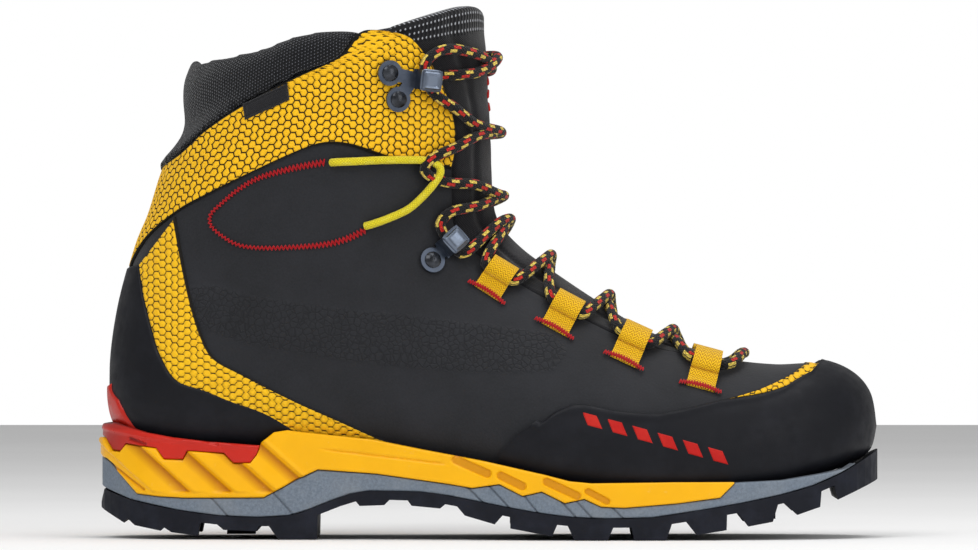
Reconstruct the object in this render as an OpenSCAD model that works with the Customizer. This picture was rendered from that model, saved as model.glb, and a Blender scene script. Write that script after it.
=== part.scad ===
// Mountaineering boot, right foot, laced up and standing on its tread.
// X runs from heel to toe, Y from the outer (lateral) side to the inner (medial) side, Z up.
// The origin is on the ground, under the flat lug that ends the heel.

/* [Size] */
// Length from the back of the heel to the tip of the toe
boot_len = 302; // [285:1:320]
// Thickness of the upper leather
leather_t = 2.2; // [1.8:0.1:2.4]
// Thickness of the rubber rands
rand_t = 1.1; // [1.0:0.1:1.5]
// Diameter of the lace
lace_d = 4.6; // [4:0.1:4.8]

/* [Sole] */
// Thickness of the outsole's web between the lugs
web_t = 3.4; // [2.5:0.1:4]
// Wall thickness of the midsole frame
frame_t = 3.0; // [2.4:0.1:3]
// Width of the side lugs, measured inwards from the edge
lug_w = 17; // [12:1:20]

/* [Flex] */
// Share of the collar's height where the cuff panels start, above the flex line
cuff_start = 0; // [0:0.01:0.04]

/* [Hidden] */
NODES = [
    "outsole", "midsole", "midsole_frame", "crampon_heel_insert", "shank", "lasting_board",
    "upper_leather", "lining_boot", "heel_counter", "toe_puff", "toe_rand", "heel_rand",
    "toe_strip", "heel_strap_lateral", "heel_strap_medial", "tongue_lower",
    "gusset_lateral", "gusset_medial", "lace_loops_lateral", "lace_loops_medial",
    "loop_stitching_lateral", "loop_stitching_medial", "instep_hook_lateral", "instep_hook_medial",
    "instep_hook_rivets", "panel_stitching_lower", "lace_lower",
    "cuff_panel_lateral", "cuff_panel_medial", "collar_guard_lateral", "collar_guard_medial",
    "collar_foam", "collar_mesh", "lining_cuff", "ankle_pad_lateral", "ankle_pad_medial",
    "tongue_upper", "tongue_badge", "cuff_hook_lateral", "cuff_hook_medial", "cuff_hook_rivets",
    "ankle_cord_lateral", "ankle_cord_medial", "panel_stitching_upper", "side_label", "lace_upper",
    "tongue_tip", "footbed", "footbed_cover"
];
node = "all";
$fn = 32;

k = boot_len / 302;
rest_x = 80 * k;
gap = 0.35;
stiff_gap = 0.7;                // from the leather to the layers behind it
rand_gap = 1.5;                 // from the leather to the heel rand and the strip over it
toe_gap = 1.8;                  // from the leather to the toe rand over it
lace_r = lace_d / 2;

// Stations of the last, from the tip of the toe round to the top of the collar. Each is a flat
// section from a front point to a back point: [front x, z, back x, z, lateral half width,
// medial half width, middle y, share of the way to the widest place, front and back roundness].
LAST = [
    [300.2,  43.0, 300.2,  43.0,  0.5,  0.5, 7.0, .60, 2.2, 2.6],
    [297.8,  55.4, 297.4,  33.6, 17.0, 17.0, 6.5, .62, 2.3, 3.0],
    [290.4,  63.2, 289.6,  29.0, 29.0, 28.5, 5.0, .64, 2.4, 3.4],
    [278.2,  67.2, 276.4,  23.7, 37.5, 36.0, 3.5, .66, 2.4, 3.6],
    [262.0,  67.0, 260.0,  19.0, 43.5, 42.0, 2.0, .70, 2.3, 3.8],
    [243.0,  69.3, 240.0,  16.2, 48.0, 46.0, 1.0, .72, 2.1, 3.8],
    [225.0,  74.6, 218.0,  15.0, 50.5, 47.5, 0.0, .72, 2.0, 3.8],
    [208.0,  82.4, 195.0,  15.4, 51.5, 46.0, 0.0, .72, 1.9, 3.6],
    [192.0,  92.5, 170.0,  17.6, 50.5, 42.5, 0.0, .70, 1.8, 3.4],
    [177.5, 102.3, 143.0,  21.8, 47.0, 39.0, 0.0, .66, 1.8, 3.2],
    [166.5, 110.2, 114.0,  25.6, 43.0, 37.0, 0.0, .60, 1.8, 3.2],
    [160.0, 116.0,  84.0,  27.6, 41.0, 37.5, 0.0, .56, 1.9, 3.2],
    [156.6, 120.0,  52.0,  28.2, 40.5, 39.0, 0.0, .54, 2.0, 3.2],
    [154.8, 123.0,  23.0,  31.5, 40.5, 39.5, 0.0, .53, 2.1, 3.0],
    [153.8, 125.6,   8.0,  45.0, 40.5, 40.0, 0.0, .52, 2.1, 2.7],
    [153.2, 128.2,   5.4,  64.0, 40.5, 40.0, 0.0, .51, 2.1, 2.35],
    [152.8, 131.0,   8.2,  88.0, 40.5, 40.5, 0.0, .50, 2.1, 2.1],
    [152.5, 134.5,  14.6, 112.0, 41.0, 41.0, 0.0, .50, 2.1, 2.1],
    [152.0, 148.5,  19.8, 125.0, 41.5, 41.5, 0.0, .50, 2.1, 2.1],
    [151.3, 162.5,  24.0, 138.5, 42.0, 42.0, 0.0, .50, 2.1, 2.1],
    [150.5, 176.5,  29.0, 153.0, 42.5, 42.5, 0.0, .50, 2.1, 2.1],
    [149.6, 190.0,  32.8, 169.0, 43.5, 43.5, 0.0, .50, 2.1, 2.1],
    [148.6, 207.0,  34.8, 187.5, 44.5, 44.5, 0.0, .50, 2.1, 2.1]
];
U_END = len(LAST) - 1;
U_FLEX = 17;                    // top edge of the foot part
U_CUFF = 18 + cuff_start;       // bottom edge of the cuff part
U_THROAT = 5;                   // where the throat opens over the forefoot

// ---------------------------------------------------------------- curves and the last's surface

// Smooth curve through the rows of a table, at a fractional row number
function row(tab, u) =
    let (n = len(tab) - 1, c = min(max(u, 0), n), i = min(floor(c), n - 1), f = c - i,
         a = tab[max(i - 1, 0)], b = tab[i], d = tab[i + 1], e = tab[min(i + 2, n)])
    0.5 * (2 * b + (d - a) * f + (2 * a - 5 * b + 4 * d - e) * f * f
           + (3 * b - a - 3 * d + e) * f * f * f);
function smooth(tab, steps) = [for (i = [0 : (len(tab) - 1) * steps]) row(tab, i / steps)];
function lerp(a, b, t) = a + (b - a) * t;
function unit(v) = v / norm(v);
function wrap(v) = v > 1 ? v - 2 : v < -1 ? v + 2 : v;

// A point of the last. u is the station number; v is 0 at the front line and 1 at the back or
// bottom line, and negative on the lateral side.
function skin(u, v) =
    let (s = row(LAST, u), a = abs(v) * 180, upper = a <= 90,
         c = abs(cos(a)), q = sin(a), n = upper ? s[8] : s[9],
         r = pow(pow(c, n) + pow(q, n), -1 / n),
         f = upper ? s[7] * (1 - r * c) : s[7] + (1 - s[7]) * r * c,
         w = v < 0 ? -s[4] : s[5])
    k * [s[0] + (s[2] - s[0]) * f, s[6] + w * r * q, s[1] + (s[3] - s[1]) * f];

function skin_normal(u, v) =
    let (du = 0.01, dv = 0.002,
         pu = skin(min(u + du, U_END), v) - skin(max(u - du, 0), v),
         pv = skin(u, wrap(v + dv)) - skin(u, wrap(v - dv)))
    u < 0.02 ? [1, 0, 0] : unit(cross(pv, pu));

function skin_off(uv, off) = skin(uv[0], wrap(uv[1])) + off * skin_normal(uv[0], wrap(uv[1]));

// Station number whose section passes through a point of the side view
function find_u(x, z, lo = 0, hi = U_END, tries = 14) =
    let (m = (lo + hi) / 2, s = row(LAST, m),
         g = (s[2] - s[0]) * (z - s[1]) - (s[3] - s[1]) * (x - s[0]))
    tries == 0 ? m : g < 0 ? find_u(x, z, m, hi, tries - 1) : find_u(x, z, lo, m, tries - 1);

// [u, v] of the point that the side view shows at (x, z); side is -1 lateral, 1 medial
function at(x, z, side = -1) =
    let (u = find_u(x, z), s = row(LAST, u),
         dx = s[2] - s[0], dz = s[3] - s[1],
         f = ((x - s[0]) * dx + (z - s[1]) * dz) / (dx * dx + dz * dz),
         upper = f < s[7], n = upper ? s[8] : s[9],
         c = min(max(upper ? 1 - f / s[7] : (f - s[7]) / (1 - s[7]), 0.0001), 0.9999),
         a = atan(pow(pow(1 / c, n) - 1, 1 / n)))
    [u, side * (upper ? a : 180 - a) / 180];

// Half width of the throat between the edges of the leather, in the last's v
THROAT = [[5, 0], [5.6, .09], [6.4, .135], [7.5, .155], [9, .175], [11, .19], [13, .20],
          [17, .22], [20, .225], [21, .25], [22, .31]];
function throat(u) = u <= U_THROAT ? 0 : lookup(u, THROAT);

// ---------------------------------------------------------------- solids on the last

// Closed solid between two offsets of the last over a grid of [u, v]. Rows run up in u and
// columns up in v, or flip is set. The grid is split after column `slot`, or from end to end where
// no slot is named; the first `seam` rows are closed over the split. A pole is a point.
module sheet(grid, inner, outer, flip = false, seam = 0, pole = false, slot = -1) {
    rows = len(grid);
    cols = len(grid[0]);
    last = cols - 1;
    ring = slot < 0;
    pts = [for (off = [outer, inner]) for (r = grid) for (c = r) skin_off(c, off)];
    function id(layer, i, j) =
        layer * rows * cols + i * cols
        + (pole && i == 0 ? 0 : i < seam && j == (ring ? last : slot + 1) ? (ring ? 0 : slot) : j);
    function quad(a, b, c, d) =
        let (q = flip ? [d, c, b, a] : [a, b, c, d])
        [for (t = [[q[0], q[1], q[2]], [q[0], q[2], q[3]]])
            if (t[0] != t[1] && t[1] != t[2] && t[0] != t[2]) t];
    function edge_low(i, j) = quad(id(0, i, j), id(1, i, j), id(1, i + 1, j), id(0, i + 1, j));
    function edge_high(i, j) = quad(id(0, i, j), id(0, i + 1, j), id(1, i + 1, j), id(1, i, j));
    first = ring ? max(seam - 1, 0) : 0;
    faces = [
        for (j = [0 : cols - 2]) if (j != slot) each [
            for (i = [0 : rows - 2]) each concat(
                quad(id(0, i, j), id(0, i + 1, j), id(0, i + 1, j + 1), id(0, i, j + 1)),
                quad(id(1, i, j), id(1, i, j + 1), id(1, i + 1, j + 1), id(1, i + 1, j))),
            each pole ? [] : quad(id(0, 0, j), id(0, 0, j + 1), id(1, 0, j + 1), id(1, 0, j)),
            each quad(id(0, rows - 1, j), id(1, rows - 1, j),
                      id(1, rows - 1, j + 1), id(0, rows - 1, j + 1))],
        for (i = [first : rows - 2]) each concat(edge_low(i, 0), edge_high(i, last)),
        if (!ring) for (i = [seam - 1 : rows - 2]) each concat(edge_high(i, slot), edge_low(i, slot + 1))
    ];
    polyhedron(pts, faces, convexity = 8);
}

// Grid of [u, v] between two v limits that depend on u
function band(us, va, vb, cols) =
    [for (u = us) [for (j = [0 : cols]) [u, lerp(va(u), vb(u), j / cols)]]];
// Grid between two edges drawn in the side view, each a table of [x, z]
function ribbon(edge_a, edge_b, rows, cols, side) =
    [for (i = [0 : rows])
        let (a = row(edge_a, i / rows * (len(edge_a) - 1)),
             b = row(edge_b, i / rows * (len(edge_b) - 1)))
        [for (j = [0 : cols]) let (p = lerp(a, b, j / cols)) at(p[0], p[1], side)]];
function span(a, b, n) = [for (i = [0 : n]) lerp(a, b, i / n)];

// Round cord along a path of [u, v, height above the last]
module cord(path, r, sides = 8) {
    n = len(path);
    p = [for (q = path) skin_off(q, q[2])];
    up = [for (q = path) skin_normal(q[0], wrap(q[1]))];
    ring = [for (i = [0 : n - 1])
        let (t = unit(p[min(i + 1, n - 1)] - p[max(i - 1, 0)]), b = unit(cross(t, up[i])),
             c = cross(b, t))
        [for (j = [0 : sides - 1]) p[i] + r * (cos(360 * j / sides) * b + sin(360 * j / sides) * c)]];
    pts = [for (q = ring) each q];
    faces = [
        for (i = [0 : n - 2]) for (j = [0 : sides - 1])
            let (a = i * sides + j, b = i * sides + (j + 1) % sides)
            each [[a, b, b + sides], [a, b + sides, a + sides]],
        for (j = [1 : sides - 2]) each [
            [0, j + 1, j],
            [(n - 1) * sides, (n - 1) * sides + j, (n - 1) * sides + j + 1]]
    ];
    polyhedron(pts, faces, convexity = 8);
}
// Path points from side view points [x, z, height]
function traced(list, side = -1) = [for (q = list) concat(at(q[0], q[1], side), [q[2]])];

// Moves its children to a point of the last: their Z is the surface normal and their X points
// along the side view direction `turn`, in degrees above the toe
module on_skin(x, z, turn, off, side = -1) {
    uv = at(x, z, side);
    n = skin_normal(uv[0], uv[1]);
    want = [cos(turn), 0, sin(turn)];
    ex = unit(want - (want * n) * n);
    ey = cross(n, ex);
    o = skin_off(uv, off);
    multmatrix([[ex[0], ey[0], n[0], o[0]], [ex[1], ey[1], n[1], o[1]],
                [ex[2], ey[2], n[2], o[2]], [0, 0, 0, 1]]) children();
}

// ---------------------------------------------------------------- sole

// Outline of the sole seen from below: [x, lateral half width, medial half width]
SOLE = [
    [0.5, 0, 0], [2.2, 12, 12], [8, 22, 21.5], [18, 31.6, 31.2], [32, 37.4, 36.8], [50, 40.4, 39.8],
    [75, 41.9, 40.6], [100, 42.8, 40.4], [120, 45.8, 41.4], [140, 49.6, 42.8], [160, 53.5, 45.8],
    [180, 56.2, 49], [200, 57, 51.6], [220, 56, 53], [240, 53, 52.6], [258, 48.3, 50.2],
    [272, 42.8, 47], [284, 35.6, 43], [293.5, 26.5, 37], [299.5, 15, 28.5], [302.2, 3, 17.5],
    [302.6, -7, 7]
];
// Side view lines of the sole: web top, tread, and the lowest line of the upper
WEB_TOP = [[-2, 20.5], [12, 15], [31, 11], [47, 8.9], [62, 8.3], [74, 8.9], [82, 11.3],
           [90, 14.5], [97.5, 17.2], [105, 18.5], [124.5, 18.2], [136, 16.7], [160, 12],
           [171, 10.1], [183, 8.6], [197, 8.1], [214, 8.5], [233, 11.3], [249, 14],
           [264, 17.1], [276, 20.4], [287.5, 25.2], [295, 29.5], [306, 36]];
TREAD = [[-2, 13], [10, 5.9], [24, 3.1], [39, 1.2], [56, 0], [69, 0], [92, 0], [110, 9], [141, 9.5],
         [150, 6.8], [160, 4.2], [172, 1.9], [184, 0], [221, 0], [232, 2], [243, 3.7], [251, 5],
         [260, 6.6], [270, 9.3], [279, 12.3], [286, 15], [306, 24]];
BOARD = concat([[-2, 33]], [for (u = [13 : -0.5 : 1]) let (r = row(LAST, u)) [r[2], r[3]]], [[306, 38]]);
// Room for the toe inside the outsole's raised front rim
TOE_POCKET = [[283, 60], [283, 23.2], [290, 25.6], [297, 29.8], [301, 36], [306, 60]];
// Side lugs: x where each starts and ends at the web, then at the tread, and how much it is cut short
LUGS = [
    [46.5, 62.5, 49, 62, 3], [66.5, 85.2, 70, 85, 0], [139, 156.5, 142, 153.5, 0],
    [159.5, 177.5, 159.5, 175.5, 0],
    [181.5, 199, 184, 197, 0], [206, 221.5, 207, 219.5, 0], [227, 242.8, 231, 242.6, 0],
    [247, 262.5, 251, 260.5, 0], [265, 279.5, 270, 279, 0], [284.5, 306, 286, 306, 0]
];
// Tread at the back of the heel, with two shallow notches: [x, height over the tread line]
HEEL_TREAD = [[-2, 0], [10.2, 0], [11.5, 2], [14.4, 0], [24.6, 0], [26, 1.4], [28.8, 0], [39, 0]];
heel_tread_end = 40;
// Low pads under the arch, between these x, and their depth
ARCH_PADS = [[100, 113], [120, 134.5]];
arch_pad = 2;
// Slope that rounds off the top of the outsole behind the heel
HEEL_SLOPE = [[-3, 12.8], [0.3, 12.8], [2.7, 21], [-3, 21]];
// Lower edge of the side frame, and the frame's upper edge
FRAME_LOW = [[-2, 33], [0.7, 31.7], [4, 29.5], [15.1, 17.3], [23.7, 16.3], [34, 15.8], [64.4, 16],
             [78, 23.4], [85.4, 26.8], [107.7, 25.2], [135.8, 21.3], [144.7, 19.8], [155.2, 21.3],
             [164.1, 16.8], [171.5, 18.5], [180.4, 14.1], [187.8, 15.7], [194.4, 12.7],
             [203.3, 12.3], [223.8, 14], [240.1, 16.1], [245.8, 21.7]];
FRAME_TOP = [[245.9, 22.1], [223, 22.1], [190.5, 21.7], [182, 22.5], [172.2, 25], [148.4, 30.3],
             [125.3, 34.6], [106.2, 38.4], [78, 41.3], [73.5, 41.9], [68.4, 41.1]];
// Line where the heel insert sits in the frame, from its front end to the back of the heel
INSERT_LOW = [[63.4, 37.1], [61.8, 32.5], [59.3, 29.2], [52.7, 29.2], [49.1, 33], [34.7, 33.8],
              [33.2, 30.5], [25.8, 30.5], [22.8, 34.8], [10.4, 36.3], [8.5, 33.2], [5, 33.5],
              [1.7, 38.6], [-2, 39]];
INSERT_TOP = [[-2, 43.9], [5.5, 44.6], [18.7, 40.9], [28.9, 39.1], [42, 37.6], [61.8, 36.1]];

function scaled(list) = [for (p = list) k * p];
function reversed(list) = [for (i = [len(list) - 1 : -1 : 0]) list[i]];
function shifted(list, dz) = [for (p = list) p + [0, dz]];
line_steps = 2;

// The sole's outline, drawn in from its edge by `inset`
module sole_outline(inset = 0) {
    rows = smooth(SOLE, 2);
    offset(delta = -inset)
        polygon(scaled(concat([for (r = rows) [r[0], -r[1]]],
                              [for (r = reversed(rows)) if (r[1] > 0 || r[2] > 7) [r[0], r[2]]])));
}
// Prism across the boot from a side view outline
module across(outline) {
    rotate([90, 0, 0]) linear_extrude(150 * k, center = true) polygon(scaled(outline));
}
module footprint(inset = 0) {
    translate([0, 0, -5]) linear_extrude(80 * k) sole_outline(inset);
}

module outsole() {
    web_low = shifted(smooth(WEB_TOP, line_steps), -web_t);
    bottom = [for (g = LUGS) each [
        [g[0], lookup(g[0], web_low)], [g[2], lookup(g[2], TREAD) + g[4]],
        [g[3], lookup(g[3], TREAD) + g[4]], [g[1], lookup(g[1], web_low)]]];
    heel = concat([[-2, lookup(-2, web_low)]],
                  [for (p = HEEL_TREAD) [p[0], lookup(p[0], TREAD) + p[1]]],
                  [[heel_tread_end, lookup(heel_tread_end, web_low)]]);
    arch = concat([for (x = [88, 94]) [x, lookup(x, web_low)]], [for (g = ARCH_PADS) each [
        [g[0], lookup(g[0], web_low)], [g[0] + 1.5, lookup(g[0] + 1.5, web_low) - arch_pad],
        [g[1] - 2, lookup(g[1] - 2, web_low) - arch_pad], [g[1], lookup(g[1], web_low)]]]);
    profile = concat(heel, [for (p = bottom) if (p[0] < 95) p], arch,
                     [for (p = bottom) if (p[0] > 95) p], reversed(smooth(WEB_TOP, line_steps)));
    channel = concat([[2, -9], [62, -9], [62, 2], [62, lookup(62, web_low)]],
                     reversed([for (p = web_low) if (p[0] > 2 && p[0] < 62) p]));
    channel_front = concat([[136, -9], [300, -9]],
                           reversed([for (p = web_low) if (p[0] > 136 && p[0] < 300) p]));
    color("#26272c") union() {
        difference() {
            intersection() { footprint(); across(profile); }
            intersection() { footprint(frame_t + 0.4); across(TOE_POCKET); }
            across(HEEL_SLOPE);
            for (c = [channel, channel_front])
                intersection() { footprint(lug_w); across(c); }
        }
        middle_lugs(web_low);
    }
}
// Rows of small lugs down the middle of the heel and the forefoot
module middle_lugs(web_low) {
    for (c = [[24, 0, 14, 12], [55, 0, 11, 12], [168, -12, 12, 16], [168, 13, 12, 14],
              [191, -16, 13, 17], [191, 12, 13, 17], [213, -15, 13, 17], [213, 14, 13, 17],
              [236, -12, 12, 17], [236, 14, 12, 17], [257, 0, 11, 22]])
        translate(k * [c[0], c[1], 0])
            linear_extrude_between(k * (lookup(c[0], TREAD) + 1), k * (lookup(c[0], WEB_TOP) - 2.3))
                square(k * [c[2], c[3]], center = true);
}
module linear_extrude_between(z0, z1) { translate([0, 0, z0]) linear_extrude(z1 - z0) children(); }

// Room inside the sole's rim, from `drop` under the last's bottom line upwards
module cavity(inset, drop) {
    intersection() {
        footprint(inset);
        across(concat(shifted(BOARD, -drop), [[306, 70], [-2, 70]]));
    }
}
module midsole() {
    web_top = [for (p = shifted(smooth(WEB_TOP, line_steps), 0.1)) if (p[0] < 288.5) p];
    rim = concat(web_top, [[289.8, 27.1], [281, 25.4], [264.7, 22.9], [246.4, 22.1]],
                 reversed(shifted(FRAME_LOW, -0.15)));
    core = concat(web_top, reversed(shifted([for (p = BOARD) if (p[0] < 289) p], -0.6)));
    color("#76828f") difference() {
        union() {
            difference() {
                intersection() { footprint(0.4); across(rim); }
                cavity(frame_t + 0.6, 0.9);
            }
            intersection() { footprint(frame_t + 0.1); across(core); }
        }
        shank_space(0.1, 3);
    }
}
module midsole_frame() {
    color("#fbb40a") difference() {
        intersection() { footprint(); across(concat(FRAME_LOW, FRAME_TOP, INSERT_LOW)); }
        footprint(frame_t);
    }
}
module crampon_heel_insert() {
    color("#cb2a1e") union() {
        difference() {
            intersection() {
                footprint(-0.8);
                across(concat(INSERT_TOP, shifted([for (p = INSERT_LOW) if (p[0] < 63) p], 0.15)));
            }
            footprint(frame_t - 1.1);
        }
        heel_fin();
    }
}
// Thin plate that rises from the insert round the back of the heel
module heel_fin() {
    grid = [for (r = span(0, 1, 6))
        let (u = lerp(13.72, 14.78, r), half = 0.02 + 0.20 * pow(1 - r, 0.8))
        [for (j = [0 : 10]) [u, lerp(1 - half, 1 + half, j / 10)]]];
    sheet(grid, rand_t + rand_gap + 0.4, rand_t + rand_gap + 1.9);
}
module shank_space(grow, height) {
    line = [for (p = BOARD) if (p[0] > 30 && p[0] < 200) p];
    intersection() {
        translate(k * [115, 0, 20])
            linear_extrude(60, center = true) square([150 * k + 2 * grow, 24 * k + 2 * grow], center = true);
        across(concat(shifted(line, -2.2 - grow), reversed(shifted(line, height))));
    }
}
module shank() { color("#3a3d42") shank_space(0, -0.6); }
module lasting_board() {
    color("#c9c2ae")
        sheet(band(span(1.4, 12.2, 20), function(u) 0.87, function(u) 1.13, 6), -3.8, -leather_t - stiff_gap);
}

// ---------------------------------------------------------------- upper of the foot

// Rows and columns that the leather and the rands over it share
TOE_ROWS = [.1, .3, .6, 1, 1.5, 2, 2.5, 3];
SIDE_ROWS = [3.5, 4, 4.5, 5, 5.7, 6.4, 7.1, 7.8, 8.5];
HEEL_ROWS = [12.6, 13.04, 13.48, 13.92, 14.36, 14.8, 15.24, 15.68, 16.12, 16.56, U_FLEX];
COLS = 16;
module upper_leather() {
    us = concat([0], TOE_ROWS, SIDE_ROWS, span(9.2, 12, 4), HEEL_ROWS);
    closed = len([for (u = us) if (u <= U_THROAT) u]);
    color("#333436")
        sheet([for (u = us) [for (j = [0 : 2 * COLS]) [u, lerp(throat(u), 2 - throat(u), j / COLS / 2)]]],
              -leather_t, 0, seam = closed, pole = true);
}
module lining_boot() {
    us = concat([.5, 1], span(2, U_THROAT + 0.4, 4), span(7, 11.6, 4), HEEL_ROWS);
    color("#44464c")
        sheet([for (u = us) [for (j = [0 : 24]) [u, lerp(throat(u) + .06, 1.94 - throat(u), j / 24)]]],
              -7, -4.3);
}
module heel_counter() {
    color("#b9b4a6")
        sheet(band(span(12.6, 16.2, 10), function(u) 0.62, function(u) 1.38, 20),
              -3.8, -leather_t - stiff_gap);
}
module toe_puff() {
    color("#b9b4a6")
        sheet(band(span(0.6, 3.4, 9), function(u) -0.78, function(u) 0.78, 20), -3.8, -leather_t - stiff_gap);
}
// Upper edge of the toe rand, as v at each station
RAND_TOP = [[3, 0], [3.35, .06], [3.5, .10], [4, .235], [4.6, .31], [5.4, .36], [6.2, .385], [7, .40],
            [7.8, .42], [8.3, .47], [8.6, .56], [8.75, .66]];
module toe_rand() {
    side_cols = 12;
    low = side_cols / COLS;
    us = concat(TOE_ROWS, SIDE_ROWS, [8.75]);
    top = function(u) lookup(u, RAND_TOP);
    grid = [for (u = us) concat(
        [for (j = [0 : side_cols]) [u, -lerp(low, top(u), j / side_cols)]],
        [for (j = [0 : side_cols]) [u, lerp(top(u), low, j / side_cols)]])];
    color("#222327") sheet(grid, toe_gap, rand_t + toe_gap, seam = len(TOE_ROWS), slot = side_cols);
}
// From the strap down to the frame, and round the back of the heel
module heel_rand() {
    side_cols = 9;
    closed_us = [for (u = reversed(HEEL_ROWS)) if (u > 13.9 && u < 16.6) u];
    us = concat(closed_us, [13.48, 13.04, 12.6, 12.2]);
    front = function(u) lookup(u, [[12.2, .70], [13, .73], [14, .765], [15, .80], [16, .86], [16.6, .93]]);
    low = function(u) lookup(u, [[12.2, .79], [13, .82], [13.5, .87], [13.92, 1]]);
    grid = [for (u = us) concat(
        [for (j = [0 : side_cols]) [u, lerp(front(u), low(u), j / side_cols)]],
        [for (j = [0 : side_cols]) [u, 2 - lerp(low(u), front(u), j / side_cols)]])];
    color("#1d1e21")
        sheet(grid, rand_gap, rand_t + rand_gap, flip = true, seam = len(closed_us), slot = side_cols);
}
module toe_strip() {
    us = [3.35, 3.5, 4, 4.5, 5];
    high = function(u) lookup(u, RAND_TOP) - .052;
    low = function(u) lookup(u, RAND_TOP) - .016;
    color("#f7b50f") {
        sheet(band(us, high, low, 2), rand_gap, rand_gap + 0.6);
        sheet(band(us, function(u) -low(u), function(u) -high(u), 2), rand_gap, rand_gap + 0.6);
    }
}
STRAP_FRONT = [[30.5, 113.6], [33.8, 104.8], [37.6, 88.5], [41.9, 76], [47, 68.5], [57, 63.2],
               [76, 53.5], [91.6, 47.6], [108, 42]];
STRAP_BACK = [[17.6, 111.6], [18.6, 101.7], [20.2, 91.6], [23, 80.8], [26.6, 70.6], [33, 61.5],
              [46, 56], [60, 50.5], [74, 45.5]];
module heel_strap(side) {
    color("#f7b50f")
        sheet(ribbon(STRAP_FRONT, STRAP_BACK, 20, 4, side), gap, 1.2, flip = side > 0);
}

// ---------------------------------------------------------------- tongue, gussets and footbed

module tongue_between(us, off_in, off_out) {
    edge = function(u) max(throat(u) - .022, .03);
    color("#202125")
        sheet(band(us, function(u) -edge(u), edge, 8), off_in, off_out);
}
module tongue_lower() { tongue_between(span(5.6, U_FLEX, 13), -7.2, 0.6); }
module tongue_upper() { tongue_between(span(U_CUFF, 21.3, 6), -7.2, 0.6); }
module tongue_tip() { tongue_between(span(21.38, 21.95, 4), -7.2, 0.6); }
module tongue_badge() {
    color("#b23a3a")
        sheet(band(span(19.2, 20.4, 4), function(u) -.05, function(u) .05, 4), 0.85, 1.4);
}
module gusset(side) {
    us = span(6, U_FLEX, 16);
    inner = function(u) side * (throat(u) + 0.045);
    outer = function(u) side * (throat(u) - 0.008);
    color("#18191c")
        sheet(band(us, side > 0 ? outer : inner, side > 0 ? inner : outer, 3), -3.9, -leather_t - stiff_gap);
}
module footbed() {
    color("#4b4f57")
        sheet(band(span(1.8, 13.3, 20), function(u) .875, function(u) 1.125, 6), -11.4, -8.0);
}
module footbed_cover() {
    color("#8f949c")
        sheet(band(span(1.8, 13.3, 20), function(u) .875, function(u) 1.125, 6), -12.4, -11.55);
}

// ---------------------------------------------------------------- cuff

module cuff_panel(side) {
    // Reaches up to the collar line at the back and to the top of the flap in front
    top = function(v) lookup(v, [[.2, 21.55], [.42, 21.7], [.5, 21.2], [.6, 20.7], [.7, 20.3],
                                 [.85, 19.8], [1, 19.6]]);
    vs = span(.235, .996, 16);
    grid = [for (i = [0 : 7]) [for (v = side > 0 ? vs : reversed(vs))
        let (u = lerp(U_CUFF, top(v), i / 7), lead = max(throat(u), .22) - .22)
        [u, side * (v + lead * (1 - v))]]];
    color("#333436") sheet(grid, -leather_t, 0);
}
module collar_guard(side) {
    low = function(v) lookup(v, [[.22, 18.05], [.34, 18.2], [.44, 19.05], [.52, 19.25], [.6, 19.0],
                                 [.7, 18.5], [.8, 18.1], [1, 18.02]]);
    top = function(v) lookup(v, [[.2, 21.5], [.42, 21.6], [.5, 21.1], [.6, 20.6], [.7, 20.2],
                                 [.85, 19.7], [1, 19.5]]);
    vs = span(.245, .994, 14);
    grid = [for (i = [0 : 4]) [for (v = side > 0 ? vs : reversed(vs))
        let (u = lerp(low(v), top(v), i / 4), lead = max(throat(u), .22) - .22)
        [u, side * (v + lead * (1 - v))]]];
    color("#f7b50f") sheet(grid, gap, 1.2);
}
// Grid of the collar above the panels, right round the back
function collar_grid(us_n, trim) =
    [for (i = [0 : us_n]) [for (v = span(.44, 1.56, 28))
        let (q = v > 1 ? 2 - v : v,
             lo = lookup(q, [[.42, 21.9], [.5, 21.57], [.6, 21.07], [.7, 20.67], [.85, 20.17], [1, 19.97]]),
             hi = lookup(q, [[.42, 21.97], [.5, 21.94], [.7, 21.75], [.8, 21.65], [1, 21.8]]))
        [lerp(lo, hi - trim, i / us_n), v]]];
module collar_foam() { color("#2a2b30") sheet(collar_grid(3, 0.05), -4.0, -0.5); }
module collar_mesh() { color("#1b1c20") sheet(collar_grid(3, 0), -0.3, 0.8); }
module lining_cuff() {
    color("#44464c")
        sheet(band(span(U_CUFF, 21.7, 6), function(u) .32, function(u) 1.68, 20), -7, -4.3);
}
module ankle_pad(side) {
    color("#5a5d64")
        sheet(band(span(18.3, 20.2, 5), function(u) side > 0 ? .45 : -.72,
                   function(u) side > 0 ? .72 : -.45, 7), -3.8, -leather_t - stiff_gap);
}
module side_label() {
    high = [[57.4, 168.5], [80, 179.5]];
    low = [[59.2, 161], [81, 172.5]];
    color("#17181b")
        sheet(ribbon(high, low, 5, 2, -1), 1.7, 2.3);
}

// ---------------------------------------------------------------- metal hooks and rivets

hook_w = 7.6;
plate_r = 4.9;
plate_t = 1.0;
rivet_hole_r = 1.55;
// Folded tongue of a hook: it rises from the plate and turns back over the lace
module hook_fold(reach) {
    h = lace_d + 3.4;
    rotate([90, 0, 0]) linear_extrude(hook_w, center = true)
        polygon([[0, 0], [reach, 0], [reach, h - 1.1], [reach + 6.8, h - 1.1], [reach + 6.8, h],
                 [reach - 1.1, h], [reach - 1.1, plate_t], [0, plate_t]]);
}
// rivets is a list of rivet centres in the plate's own plane, the hook's fold starting at 0, 0
module hook(rivets, reach) {
    color("#4e5966") difference() {
        union() {
            for (c = rivets) translate([c[0], c[1], 0]) cylinder(r = plate_r, h = plate_t);
            for (c = rivets) link(c);
            hook_fold(reach);
        }
        for (c = rivets) translate([c[0], c[1], -1]) cylinder(r = rivet_hole_r, h = plate_t + 2);
    }
}
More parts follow.
